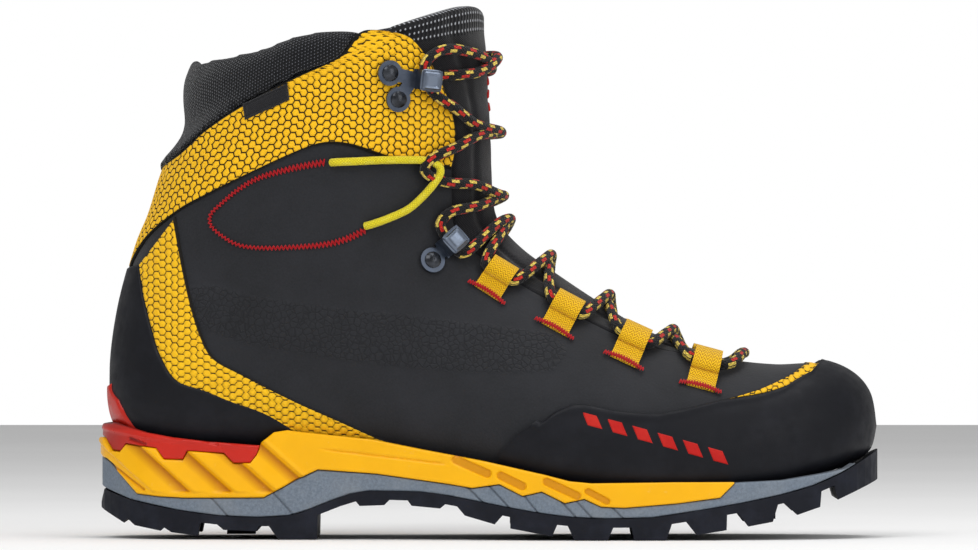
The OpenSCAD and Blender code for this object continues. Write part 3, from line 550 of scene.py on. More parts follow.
def moulded(name, colour, shade_tone, rough=0.38):
    """Satin plastic: painted shade darkens the recesses and rounded edges; random darker patches and pale
    scuffs.
    """
    k = Look(name)
    # Painted shade: where the relief attribute is low (recesses, facet creases, rounded edges) the colour
    # goes to the shade tone.
    base = k.mix(k.span(k.attr("relief"), -0.9, -0.05, 1.0, 0.0), colour, shade_tone)
    # The shade tone also gives random darker patches.
    base = k.mix(k.cloud(20, 4, 0.35, 0.75, 0, 0.16), base, shade_tone)
    base = k.mix(k.cloud(3.2, 5, 0.62, 0.78, 0, 0.18, 0.8), base, rgb(240, 228, 205))
    k.bump(k.noise(0.5, 2), 0.04, 0.5)
    return k.done(base, k.cloud(6, 4, 0.3, 0.7, rough - 0.08, rough + 0.12), shine=0.28)


def foam_rubber():
    """Grey midsole compound: finely speckled and grained, with painted shade in its grooves and along its
    edges.
    """
    k = Look("midsole_grey")
    base = k.mix(k.cloud(1.0, 4, 0.35, 0.7, rough=0.75), rgb(104, 115, 128), rgb(128, 139, 152))
    # Painted shade: darker in the grooves and along the rounded edges, where the relief attribute is low.
    base = k.mix(k.span(k.attr("relief"), -0.95, -0.5, 0.85, 0.0), base, rgb(66, 72, 82))
    base = k.mix(k.cloud(22, 3, 0.45, 0.75, 0, 0.3), base, rgb(150, 152, 152))
    k.bump(k.noise(0.8, 3, 0.7), 0.10, 0.6)
    return k.done(base, 0.68)


def honeycomb_look(name, face, groove, width):
    """Raised cells over a darker net; the mesh carries each point's distance from a cell's edge."""
    k = Look(name)
    edge = k.attr("cell")
    face = k.mix(k.cloud(8, 3, 0.3, 0.7, 0.0, 0.25), face, rgb(232, 160, 14))
    face = k.mix(k.cloud(0.45, 3, 0.4, 0.8, 0, 0.22, 0.7), face, rgb(255, 226, 110))
    base = k.mix(k.span(edge, width - 0.10, width + 0.08), groove, face)
    k.bump(k.span(edge, width - 0.25, width + 0.55), 0.4, 0.8)
    k.bump(k.math("ABSOLUTE", k.wave(k.split(k.place)[2], 4200)), 0.03, 0.4)
    k.bump(k.noise(0.5, 3, 0.7), 0.06, 0.6)
    return k.done(base, k.span(edge, width, width + 0.5, 0.8, 0.5), sheen=0.05)


def diagonals(k, first, second, turn):
    """Two waves that cross at right angles, turned by an eighth from the given axes."""
    return (k.wave(k.math("ADD", first, second), turn), k.wave(k.math("SUBTRACT", first, second), turn))


def knit(name, dark, light, pitch, size):
    """Spacer mesh: dark cloth with a staggered lattice of small lighter loops."""
    k = Look(name)
    pat = k.split(k.attr("pat", "Vector"))
    dots = k.times(*diagonals(k, pat[0], pat[1], 2 * math.pi / pitch * 0.70))
    yarn = k.noise(0.35, 3, 0.7)
    base = k.mix(k.span(dots, size, size + 0.35), dark, light)
    base = k.mix(k.span(yarn, 0.4, 0.8, 0, 0.2), base, rgb(38, 38, 43))
    k.bump(dots, 0.28, 0.8)
    k.bump(yarn, 0.12, 0.6)
    return k.done(base, 0.85, sheen=0.2)


def cloth(name, dark, light, size=0.9):
    """Plain woven cloth from crossed ribs."""
    k = Look(name)
    xyz = k.split(k.place)
    weave = k.math("MAXIMUM", *diagonals(k, xyz[2], xyz[0], 2 * math.pi * 1000 / size * 0.7))
    base = k.mix(k.span(weave, 0.0, 1.0), dark, light)
    base = k.mix(k.cloud(18, 3, 0.4, 0.8, 0, 0.3), base, light)
    k.bump(weave, 0.12, 0.7)
    k.bump(k.noise(0.4, 3, 0.7), 0.08, 0.5)
    return k.done(base, 0.88, sheen=0.25)


def padded_fabric():
    """Soft black fabric of the tongue: fine ribs and slow creases."""
    k = Look("tongue_fabric")
    pat = k.split(k.attr("pat", "Vector"))
    weave = k.times(k.wave(pat[1], 2 * math.pi / 0.9), k.wave(pat[0], 2 * math.pi / 0.8))
    base = k.mix(k.span(weave, -0.4, 0.9), rgb(13, 13, 16), rgb(28, 28, 32))
    base = k.mix(k.cloud(15, 4, 0.4, 0.8, 0, 0.4), base, rgb(34, 34, 39))
    k.bump(weave, 0.10, 0.7)
    k.bump(k.noise(6, 3), 0.7, 0.5)
    k.bump(k.noise(0.5, 3, 0.7), 0.06, 0.5)
    return k.done(base, 0.86, sheen=0.25)


def webbing():
    """Yellow woven tape: herringbone ribs across."""
    k = Look("webbing_yellow")
    pat = k.split(k.attr("pat", "Vector"))
    zig = k.math("ABSOLUTE", k.math("SUBTRACT", k.math("FRACT", k.math("DIVIDE", pat[0], 2.4)), 0.5))
    rib = k.wave(k.math("ADD", pat[1], k.times(zig, 2.2)), 2 * math.pi / 0.85)
    yarn = k.wave(pat[0], 2 * math.pi / 0.6)
    weave = k.math("ADD", k.times(rib, 0.7), k.times(yarn, 0.3))
    base = k.mix(k.span(weave, -0.9, 0.5), rgb(178, 118, 6), rgb(252, 202, 24))
    base = k.mix(k.cloud(5, 4, 0.5, 0.8, 0, 0.35), base, rgb(214, 160, 20))
    k.bump(weave, 0.16, 0.9)
    k.bump(k.noise(0.35, 3, 0.7), 0.05, 0.5)
    return k.done(base, 0.8, sheen=0.15)


def braid(name, body, flecks, pitch, strands, share, shade_tone):
    """Braided cord: two families of plaits, with a few coloured yarns among them."""
    k = Look(name)
    run, turn = k.attr("run"), k.attr("turn")
    step, lean = k.math("DIVIDE", run, pitch), k.times(turn, strands)
    plait = k.math("MINIMUM", *(k.math("ABSOLUTE", wave) for wave in diagonals(k, step, lean, math.pi)))
    # Painted shade: the grooves between the plaits take the shade tone.
    base = k.mix(k.span(plait, 0.05, 0.5), shade_tone, body)
    lane = k.math("FLOOR", k.times(turn, 4.0))
    phase = k.math("FRACT", k.math("ADD", k.math("DIVIDE", run, 8.6), k.times(lane, 0.23)))
    middle = k.math("ABSOLUTE", k.math("SUBTRACT", k.math("FRACT", k.times(turn, 4.0)), 0.5))
    dash = k.times(k.math("LESS_THAN", phase, 0.42), k.math("LESS_THAN", middle, 0.40))
    seen = k.times(dash, k.span(plait, 0.05, 0.3, 0.35 * share, share))
    odd = k.math("GREATER_THAN", k.math("FRACT", k.times(lane, 0.5)), 0.25)
    base = k.mix(seen, base, k.mix(odd, *flecks))
    k.bump(plait, 0.35, 0.9)
    k.bump(k.noise(0.25, 2), 0.04, 0.5)
    return k.done(base, 0.7, sheen=0.12)


def thread(name, colour, dark):
    """Twisted sewing thread."""
    k = Look(name)
    twist = k.wave(k.math("ADD", k.math("DIVIDE", k.attr("run"), 0.5), k.attr("turn")), 2 * math.pi)
    k.bump(twist, 0.06, 0.8)
    return k.done(k.mix(k.span(twist, -1, 1), dark, colour), 0.5, sheen=0.1)


def metal(name, colour, rough, full=0.85):
    """Plated metal with fine scratches and cloudier patches."""
    k = Look(name)
    cloud = k.noise(4, 4)
    base = k.mix(k.span(cloud, 0.35, 0.75, 0, 0.35), colour, rgb(112, 118, 128))
    k.bump(k.noise(0.8, 5, 0.8), 0.03, 0.5)
    return k.done(base, k.span(cloud, 0.3, 0.7, rough, rough + 0.18), metal=full, shine=0.5)


def board_look(name, dark, light):
    """Pressed fibre board."""
    k = Look(name)
    k.bump(k.noise(1.0, 4), 0.1, 0.6)
    return k.done(k.mix(k.cloud(1.2, 5, 0.35, 0.7, rough=0.8), dark, light), 0.85)


NUBUCK = nubuck()
RAND = rubber("rand_rubber", rgb(21, 22, 27), rgb(31, 32, 38), 0.5)
OUTSOLE = rubber("outsole_rubber", rgb(24, 26, 34), rgb(38, 41, 52), 0.6, 0.8)
# The second colour of each moulded look is its painted shade tone for recesses.
FRAME_YELLOW = moulded("frame_yellow", rgb(253, 186, 0), rgb(196, 122, 0))
INSERT_RED = moulded("insert_red", rgb(205, 40, 26), rgb(120, 16, 12), 0.34)
MIDSOLE = foam_rubber()
CELLS_COLLAR = honeycomb_look("honeycomb_collar", rgb(252, 194, 10), rgb(20, 18, 14), 0.26)
CELLS_STRAP = honeycomb_look("honeycomb_strap", rgb(252, 196, 12), rgb(26, 24, 20), 0.22)
COLLAR_KNIT = knit("collar_mesh", rgb(13, 14, 17), rgb(118, 120, 127), 1.8, 0.66)
TONGUE_MESH = knit("tongue_mesh", rgb(13, 14, 17), rgb(176, 178, 184), 2.5, 0.58)
TONGUE = padded_fabric()
LINING = cloth("lining_cloth", rgb(38, 40, 45), rgb(78, 81, 88))
GUSSET = cloth("gusset_cloth", rgb(16, 16, 18), rgb(40, 40, 44), 0.7)
WEBBING = webbing()
PLAIT_PITCH = 1.9
# The last colour of each braid is painted shade for the grooves between the plaits.
LACE = braid("lace_braid", rgb(26, 26, 29), (rgb(244, 214, 96), rgb(206, 44, 34)), PLAIT_PITCH, 5.0, 1.0,
             rgb(8, 8, 10))
CORD = braid("cord_braid", rgb(246, 230, 44), (rgb(250, 240, 96), rgb(240, 220, 40)), 1.1, 4.0, 0.4,
             rgb(222, 198, 34))
RED_THREAD = thread("red_thread", rgb(210, 24, 34), rgb(120, 6, 14))
GUNMETAL = metal("gunmetal", rgb(70, 78, 92), 0.28)
# Painted highlight: a lighter, glossier copy of the gunmetal for the hooks' outer plates.
HOOK_FACE_HIGHLIGHT = metal("gunmetal_face_highlight", rgb(112, 122, 138), 0.24)
RIVET = metal("rivet_black", rgb(24, 25, 29), 0.12, 0.6)
STIFF = board_look("stiffener_board", rgb(150, 144, 128), rgb(196, 190, 172))
SHANK = rubber("shank_nylon", rgb(40, 42, 46), rgb(58, 60, 66), 0.45)
FOOTBED = cloth("footbed_cloth", rgb(92, 96, 104), rgb(150, 154, 162), 1.1)
FOOTBED_FOAM = rubber("footbed_foam", rgb(62, 66, 74), rgb(86, 90, 98), 0.8, 1.2)
MARK_RED = rubber("mark_red", rgb(186, 30, 26), rgb(206, 52, 40), 0.5)
LABEL = cloth("label_cloth", rgb(16, 16, 18), rgb(38, 38, 42), 0.5)


# ------------------------------------------------------------ patterns

def partner(i, j):
    """The neighbour each hexagon joins, so that all of them form pairs in three directions."""
    lower = np.mod(j, 2) == 0
    kind = np.mod(np.floor(j / 2), 4)
    third = np.mod(i, 3)
    up = np.where(lower, 1, -1)
    level = np.where(third == 1, 1, -1)
    level_back = np.where(lower, level, np.where(third == 0, 1, -1))
    lone = np.where(lower, third == 0, third == 2)
    kinds = [kind == 0, kind == 1, kind == 2]
    di = np.select(kinds, [np.where(third == 0, 0, level), -up, np.where(lone, -up, level_back)], 0)
    dj = np.select(kinds, [np.where(third == 0, up, 0), up, np.where(lone, up, 0)], up)
    return di, dj


def honeycomb(pat, pitch, neck=0.21):
    """Distance in millimetres of each point from the edge of its pair of joined hexagons."""
    x, y = pat[..., 1] / pitch, pat[..., 0] / pitch
    half_root = math.sqrt(3) / 2
    j = np.floor(y / half_root)
    best = np.full(x.shape, 1e9)
    near = np.zeros(x.shape + (2,))
    for dj in (0, 1):
        i = np.floor(x - 0.5 * (j + dj))
        for di in (0, 1):
            cx, cy = i + di + 0.5 * (j + dj), (j + dj) * half_root
            d = (x - cx) ** 2 + (y - cy) ** 2
            near = np.where((d < best)[..., None], np.stack([i + di, j + dj], -1), near)
            best = np.minimum(best, d)
    px, py = x - near[..., 0] - 0.5 * near[..., 1], y - near[..., 1] * half_root
    join_i, join_j = partner(near[..., 0], near[..., 1])
    edge = np.full(x.shape, 1e9)
    for di, dj in ((1, 0), (0, 1), (-1, 1), (-1, 0), (0, -1), (1, -1)):
        ex, ey = di + 0.5 * dj, dj * half_root
        gap = 0.5 - (px * ex + py * ey)
        side = np.abs(-px * ey + py * ex)
        through = np.hypot(gap, np.maximum(neck - side, 0))
        edge = np.minimum(edge, np.where((join_i == di) & (join_j == dj), through, gap))
    return edge * pitch


def girth_map(points):
    """Pattern coordinates on the upper: distance round the boot from the back line, and height."""
    x, z = points[..., 0], points[..., 2]
    wide = np.abs(points[..., 1])
    back = np.interp(z, LAST[14:, 3], LAST[14:, 2])
    front = np.interp(z, LAST[9:, 1], LAST[9:, 0])
    ring = skin(np.full(400, 19.0), np.linspace(1, 0, 400))
    ring_share = (ring[:, 0] - ring[0, 0]) / (ring[-1, 0] - ring[0, 0])
    run = along(ring)
    bulge = int(np.argmax(np.abs(ring[:, 1])))
    by_width = np.interp(wide, np.abs(ring[:bulge, 1]), run[:bulge])
    by_depth = np.interp(np.clip((x - back) / (front - back), 0, 1), ring_share, run)
    return np.stack([by_width + ease(wide, 12, 24) * (by_depth - by_width), z], -1)


def flank_map(points):
    """Pattern coordinates on one side of the heel: distance along it, and height."""
    x = np.linspace(5, 285, 400)
    half = row(np.array(SOLE)[:, :2], np.linspace(0, 19, 2000))
    run = along(np.stack([x, np.interp(x, half[:, 0], half[:, 1])], -1))
    return np.stack([np.interp(points[..., 0], x, run), points[..., 2]], -1)


def honeycomb_sheet(name, uv, pat, pitch, edge, border, drop, thick, inner, look):
    """Sheet with a honeycomb relief that ends in a plain border, rounded off by `drop`."""
    cell = np.minimum(honeycomb(pat, pitch), (edge - border) * 0.8)
    relief = 0.26 * ease(cell, 0.0, 0.55) - drop[0] * rounding(edge, drop[1])
    return sheet(name, uv, thick + relief, inner, look, {"cell": cell, "pat": pat})


def side_cells(name, uv, pitch, thick, inner):
    """Honeycomb sheet on the side of the foot."""
    base = spots(uv)
    return honeycomb_sheet(name, uv, flank_map(base), pitch, edge_distance(base), 0.7, (0.5, 1.0), thick,
                           inner, CELLS_STRAP)


# ------------------------------------------------------------ upper

throat = steady([[5, 0], [5.25, .055], [5.6, .09], [6.4, .135], [7.5, .155], [9, .175], [11, .19], [13, .20],
                 [17, .22], [18, .2195], [19, .2175], [20, .25], [20.6, .28], [21.2, .32], [21.4, .357],
                 [21.5, .403]])
collar_line = steady([[.2, 21.5], [.3, 21.5], [.42, 21.6], [.5, 21.2], [.6, 20.7], [.7, 20.3], [.85, 19.8],
                      [1, 19.6]])


def leather_lines(u, v):
    """Above the ankle the leather's rows spread out to meet the collar line."""
    share = np.clip((u - U_FLEX) / (U_END - U_FLEX), 0, 1)
    return np.where(u > U_FLEX, U_FLEX + share * (collar_line(v) - U_FLEX), u)


def pebble_band(x, z):
    """1 inside the embossed band along the side of the foot."""
    middle = np.interp(x, [20, 33, 60, 100, 140, 171, 185], [92, 92, 84, 78, 74, 72, 72])
    half = np.interp(x, [25, 45, 120, 150, 176, 182], [3, 10, 11, 10, 8, 0])
    return ease(half - np.abs(z - middle), 0, 1.5) * ease(x, 28, 34)


def upper_leather():
    us = np.concatenate([[0, .03, .07, .12, .18], np.arange(.25, 5, .07), np.arange(5, 12, .055),
                         np.arange(12, 18, .06), np.arange(18, 22.001, .06)])
    wide = np.where(us > U_FLEX, throat(U_FLEX + (us - U_FLEX) / 4 * 3.5), throat(np.minimum(us, U_MOUTH)))
    steps = np.concatenate([[0, .003, .007, .012, .02], np.linspace(.03, 1, 110)])
    uv, quads = flanks(us, np.where(us < U_THROAT, 0, wide), np.ones_like(us), steps,
                       us <= U_THROAT, np.ones(len(us), bool), leather_lines)
    u, v = uv[:, 0], np.abs(uv[:, 1])
    x, _, z = spots(uv).T
    girth = 150 * (v - throat(np.minimum(u, U_MOUTH)))
    rim = np.where(u < U_THROAT, 9, girth) + np.clip(5.3 - u, 0, 1) * 30
    rim = np.maximum(np.minimum(rim, 14 * (collar_line(v) - u) + 0.01), 0)
    crease = 0.35 * np.sin(x * 0.16 + z * 0.05) * bell(x, 215, 26) * ease(z, 42, 60)
    hem = 0.35 * bell(rim, 2.6, 0.9) * (u > U_THROAT) - 0.9 * rounding(rim, 1.4)
    pebble = pebble_band(x, z)
    obj = shell("upper_leather", uv, quads, hem + crease + 0.12 * pebble, -2.2, NUBUCK,
                {"pebble": pebble, "rim": rim}, 50)
    bends(obj, "nubuck", "upper_leather", "cuff_panel_lateral", "cuff_panel_medial")


TOE_RAND_TOP = [[171.7, 44.9], [177.1, 49.3], [183.5, 51.6], [189, 51.6], [199.8, 49.3], [216.3, 47.9],
                [227.2, 49.8], [240.2, 52.8], [255.5, 54.7], [265.3, 57.4], [276.1, 62.9], [284.8, 66.7]]


def toe_rand():
    """Rubber over the toe; `start` is where its two upper edges meet, `end` its back corner."""
    start, end = 2.6, 8.72
    table = uv_at(TOE_RAND_TOP, 1)
    table = np.concatenate([[[start, 0.0]], table[np.argsort(table[:, 0])]])
    table = table[np.concatenate([[True], np.diff(table[:, 0]) > 0.02])]
    top = lambda u: np.where(u <= start, 0, np.interp(u, table[:, 0], table[:, 1]))
    us = np.concatenate([[0, .03, .07, .12, .18], np.arange(.25, start, .08), np.arange(start, 8.3, .07),
                         np.arange(8.3, end, .04)])
    high = np.maximum(top(us), np.interp(us, [7.9, 8.3, 8.55, end], [0, .46, .55, .66]))
    steps = np.concatenate([[0, .006, .014, .025], np.linspace(.04, 1, 60)])
    uv, quads = flanks(us, high, np.full(len(us), .775), steps, us <= start)
    u = uv[:, 0]
    rim = np.where(u <= start, 9, 120 * (np.abs(uv[:, 1]) - top(u))) + np.clip(start + .3 - u, 0, 1) * 20
    outer = 2.2 - 1.2 * rounding(rim, 1.3) + 0.5 * bell(rim, 1.6, 1.1)
    rides(shell("toe_rand", uv, quads, outer, 0.1, RAND, {}, 50), "foot", "rand", "toe_rand")


STRAP_FRONT = [[30.2, 124.2], [33.8, 104.8], [37.6, 88.5], [41.9, 76], [46.5, 69.0], [57, 63.2], [76, 53.5],
               [91.6, 46.6], [110, 38.6], [124, 34.4]]
STRAP_BACK = [[15.9, 105.5], [17.0, 98.0], [18.2, 91.0], [20.8, 80.8], [24.0, 70.6], [30.2, 60.9],
              [40.7, 57], [52, 52.4], [64, 48.2], [75, 42.0], [80, 38.5]]


def heel_strap(side, name):
    bends(side_cells(name, ribbon(STRAP_FRONT, STRAP_BACK, 330, 44, side), 2.9, 1.0, 0.02), "honeycomb", name)


def heel_rand():
    """Rubber behind the heel, up to the back edge of the straps."""
    top = 16.66
    edge = uv_at(curve(STRAP_BACK, 120)[:112], 1)[::-1]
    edge[:, 1] -= 0.004
    us = np.concatenate([np.arange(edge[0, 0], 13.7, .05), np.arange(13.7, top, .04)])
    front = np.interp(us, edge[:, 0], edge[:, 1])
    low = np.maximum(np.interp(us, [12.2, 13, 13.5, 13.7], [.79, .82, .87, 1]), front + .03)
    steps = np.concatenate([[0, .01, .025], np.linspace(.05, 1, 40)])
    uv, quads = flanks(us, front, low, steps, None, us >= 13.69)
    rim = np.minimum(150 * (np.abs(uv[:, 1]) - np.interp(uv[:, 0], us, front)), (top - uv[:, 0]) * 24)
    obj = shell("heel_rand", uv, quads, 1.75 - 0.9 * rounding(rim, 1.2), 0.1, RAND, {}, 50)
    bends(obj, "rand", "heel_rand")


def toe_strip():
    """Thin honeycomb band between the toe rand and the leather, on each side."""
    high = [[239.5, 52.9], [247, 54.8], [254.6, 57.1], [261, 59.6], [267.3, 62.6], [271.5, 65.2],
            [274.5, 67.0]]
    low = [[240.5, 52.5], [248, 53.7], [254.6, 54.7], [261, 56.1], [267.3, 58.1], [277, 61.6],
           [283.5, 66.2]]
    parts = [side_cells("toe_strip", ribbon(high, low, 90, 12, side), 2.7, 0.9, 0.05) for side in (-1, 1)]
    rides(joined("toe_strip", parts), "foot", "honeycomb", "toe_strip")


GUARD_TOP = [[108.5, 196.1], [103.5, 195.9], [99.6, 193.6], [97, 189.7], [91.8, 184.9], [75.2, 177.2],
             [57.5, 167.8], [41.9, 157.5], [31.6, 148.1]]
GUARD_FRONT = [[108.5, 196.1], [116.8, 194.9], [123, 191.7], [129.2, 183.4], [135.4, 169.9],
               [138.1, 158.5], [138.0, 149.0], [136.6, 142.4]]
GUARD_LOW = [[136.6, 142.4], [124, 143.9], [112.6, 146.5], [99.1, 151], [90.8, 152.2], [83.5, 151.2],
             [73.1, 147.1], [58.6, 140.3], [41.9, 132], [30, 125.2]]


def folded(points, side):
    """Side view points as [u, w], where w is 0 at the back line and grows towards the front."""
    uv = uv_at(points, 1)
    return np.stack([uv[:, 0], side * (1 - uv[:, 1])], -1)


def collar_guard(side, name):
    top = np.concatenate([folded(GUARD_TOP, side), [[19.35, 0]]])
    low = np.concatenate([folded(GUARD_LOW, side), [[16.95, side * .075], [16.62, 0]]])
    back = np.array([[19.35, 0], [18.5, 0], [17.5, 0], [16.62, 0]])
    grid = patch(top, low, folded(GUARD_FRONT, side), back, 140, 560)
    for ring in grid:
        ring[:] = resampled(ring, along(skin(ring[:, 0], side - ring[:, 1])), len(ring))
    uv = np.stack([grid[..., 0], side - grid[..., 1]], -1)
    base = spots(uv)
    down = along(base)
    edge = np.minimum(np.minimum(down, down[-1:] - down), along(base, 1))
    obj = honeycomb_sheet(name, uv, girth_map(base), 3.1, edge, 0.8, (0.6, 1.2), 1.1, 0.02, CELLS_COLLAR)
    bends(obj, "honeycomb", name)


# ------------------------------------------------------------ tongue, lining, footbed

tongue_top = steady([[0, 21.66], [.05, 21.82], [.11, 21.95], [.17, 21.97], [.25, 21.88], [.345, 21.74],
                     [.4, 21.6]])


def tongue_edge(u):
    wide = throat(np.minimum(u, 20)) + 0.028
    return np.where(u > 20, np.interp(u, [20, 21, 21.4, 22], [throat(20) + .028, .34, .37, .37]), wide)


def tongue_height(u, s):
    """Padded rolls: a shallow valley in the middle and a fold along each side."""
    height = 0.55 + 0.5 * ease(u, 19.5, 21.5) - 1.1 * bell(s, 0, .10) - 0.75 * bell(np.abs(s), .60, .05)
    height -= 3.6 * ease(np.abs(s), .86, 1.0)
    return height + 0.16 * np.sin(u * 7.0 + 3 * s) * ease(u, 17, 19)


def tongue_piece(name, us, look, tip):
    """Padded length of the tongue; the tip is rounded off along its top."""
    u, s = crossed(us, np.linspace(-1, 1, 81))
    v = s * tongue_edge(u)
    rim = np.full_like(u, 20.0)
    if tip:
        share = (u - us[0]) / (us[-1] - us[0])
        u = us[0] + share * (tongue_top(np.abs(v)) - us[0])
        rim = (1 - share) * 9.0
    uv = np.stack([u, v], -1)
    fall = rounding(rim, 3.5)
    return sheet(name, uv, tongue_height(u, s) - 3.2 * fall, 2.4 * fall - 6.8, look,
                 {"pat": arc_map(spots(uv))})


def tongue():
    us = np.concatenate([np.arange(5.2, 18, .08), np.linspace(18, 21.36, 57)])
    bends(tongue_piece("tongue", us, TONGUE, False), "lining", "tongue_lower", "tongue_upper")
    tip = tongue_piece("tongue_tip", np.linspace(21.33, 22.0, 26), TONGUE_MESH, True)
    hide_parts("tongue_tip")
    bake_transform(tip)


def gusset(side, name):
    """Thin fold that closes the gap between the tongue and the leather."""
    u, s = crossed(np.arange(5.7, 21.2, .1), np.linspace(0, 1, 14))
    v = side * (throat(np.minimum(u, 20.4)) + .062 - .085 * s)
    top = -2.5 + 0.5 * np.sin(s * np.pi) - 0.9 * s
    bends(sheet(name, np.stack([u, v], -1), top - .3, top - 1.4, GUSSET), "lining", name)


def lining():
    us = np.concatenate([np.arange(.5, 5, .15), np.arange(5, 21.75, .12)])
    high = np.where(us < 5.2, 0, throat(np.minimum(us, 20.5)) + .055)
    uv, quads = flanks(us, high, np.ones_like(us), np.linspace(0, 1, 70), us < 5.2, np.ones(len(us), bool))
    pads = bell(uv[:, 0], 19.2, 0.8) * bell(np.abs(uv[:, 1]), .58, .10)
    obj = shell("lining", uv, quads, -4.3 - 1.2 * pads, -7.0 - 1.6 * pads, LINING, {}, 60)
    bends(obj, "lining", "lining_boot", "lining_cuff", "ankle_pad_lateral", "ankle_pad_medial")


def footbed():
    """Insole, and its cloth cover with cupped edges."""
    u, s = crossed(np.linspace(1.8, 13.3, 120), np.linspace(-1, 1, 41))
    uv = np.stack([u, 1 + s * .125], -1)
    cup = 0.3 * np.abs(s) ** 3 * ease(u, 6, 11)
    rides(sheet("footbed", uv, -8.0, -11.4, FOOTBED_FOAM), "footbed", "footbed_foam", "footbed")
    cover = sheet("footbed_cover", uv, -11.5 - cup, -12.5 - cup, FOOTBED)
    rides(cover, "footbed", "footbed_top", "footbed_cover")


# ------------------------------------------------------------ collar pad

def applied(obj, kind, **settings):
    """Adds a modifier and applies it at once."""
    modifier = obj.modifiers.new(kind.lower(), kind)
    for key, value in settings.items():
        setattr(modifier, key, value)
    bpy.ops.object.modifier_apply(modifier=modifier.name)


def corners(obj):
    return np.array([v.co for v in obj.data.vertices])


def puff(obj, pat, voxel, cap, frames=20):
    """Fills a closed soft shape like a cushion: cloth with pressure, then moves held within `cap`."""
    rest = corners(obj)
    tree = kdtree.KDTree(len(rest))
    for i, p in enumerate(rest):
        tree.insert(p, i)
    tree.balance()
    bpy.context.view_layer.objects.active = obj
    applied(obj, "REMESH", mode="VOXEL", voxel_size=voxel)
    start = corners(obj)
    soft = obj.modifiers.new("cloth", "CLOTH")
    soft.settings.use_pressure = True
    soft.settings.uniform_pressure_force = 4
    soft.settings.effector_weights.gravity = 0
    soft.point_cache.frame_end = frames
    for number in range(1, frames + 1):
        bpy.context.scene.frame_set(number)
    bpy.ops.object.modifier_apply(modifier=soft.name)
    bpy.context.scene.frame_set(1)
    move = corners(obj) - start
    size = np.linalg.norm(move, axis=1, keepdims=True)
    end = start + move * np.minimum(1, cap / np.maximum(size, 1e-9))
    obj.data.vertices.foreach_set("co", end.ravel().astype(np.float32))
    obj.data.update()
    applied(obj, "SUBSURF", levels=1, render_levels=1)
    applied(obj, "SMOOTH", iterations=8)
    near = []
    for v in obj.data.vertices:
        found = tree.find_n(v.co, 4)
        weight = np.array([1 / (f[2] + 1e-5) for f in found])
        near.append((pat[[f[1] for f in found]] * weight[:, None]).sum(0) / weight.sum())
    near = np.pad(near, ((0, 0), (0, 1))).astype(np.float32)
    layer = obj.data.attributes.get("pat") or obj.data.attributes.new("pat", "FLOAT_VECTOR", "POINT")
    layer.data.foreach_set("vector", near.ravel())
    obj.data.polygons.foreach_set("use_smooth", np.ones(len(obj.data.polygons), bool))


PAD_LOW = [[112, 196.8], [103.5, 195.3], [99.6, 192.6], [97, 189.0], [91.8, 184.2], [75.2, 176.6],
           [57.5, 167.2], [41.9, 156.9], [31.6, 147.6]]
PAD_TOP = [[112, 195.3], [103.5, 194.0], [97, 193.6], [86.9, 193.2], [81.5, 192.6], [76, 191.6],
           [70.6, 189.7], [65.2, 187.2], [59.8, 185.6], [48.9, 183.3], [40, 181.9], [36.5, 181.2]]


def collar_pad():
    """Padded black rim round the back: hollowed outside above the ankle, rolled over at the top."""
    pad_low, pad_top = (steady(np.concatenate([uv_at(table, 1)[:, ::-1], [[1.0, end]]]))
                        for table, end in ((PAD_LOW, 19.2), (PAD_TOP, 21.68)))
    w = np.linspace(.44, 1.56, 210)
    q = np.where(w > 1, 2 - w, w)
    top = pad_top(q)
    low = np.minimum(pad_low(q), top - 0.12)
    back = ease(q, .62, .98)
    rows, heights = [], []
    for t in np.linspace(0, 1, 26):
        dip = 3.9 * back * bell(t, .46, .22) - 0.5 * (1 - back) * bell(t, .5, .3)
        hem = (0.3 + 3.0 * back) * bell(t, .05, .10) - 1.2 * back * (1 - ease(t, 0, .03))
        rows.append(low + (top - low) * t)
        heights.append(0.4 + 0.7 * ease(t, 0, .2) + hem - dip - 1.6 * ease(t, .86, 1.0))
    for a in np.linspace(0.2, np.pi - 0.2, 7):
        rows.append(top + 0.17 * np.sin(a))
        heights.append(-3.2 + 2.7 * np.cos(a) + 0 * q)
    for t in np.linspace(1, 0.35, 12):
        rows.append(low + (top - low) * t)
        heights.append(-6.6 - 0.8 * np.sin(t * 3) + 0 * q)
    rows, heights = np.array(rows), np.array(heights)
    heights = -3.0 + (heights + 3.0) * (0.35 + 0.65 * ease(q, .42, .50))
    points = on_skin(np.stack([rows, np.repeat(w[None], len(rows), 0), heights], -1))[0]
    index = np.arange(rows.size).reshape(rows.shape)
    faces = grid_quads(np.concatenate([index, index[:1]]))[:, ::-1].tolist()
    faces += [index[:, 0].tolist(), index[::-1, -1].tolist()]
    pat = np.stack([np.repeat(along(points, 1)[12:13], len(rows), 0), along(points)], -1).reshape(-1, 2)
    obj = mesh_object("collar_pad", points.reshape(-1, 3), faces, COLLAR_KNIT, {"pat": pat}, 70)
    puff(obj, pat, 0.0021, 0.0012)
    rides(obj, "cuff", "mesh", "collar_mesh", "collar_foam")


# ------------------------------------------------------------ sole

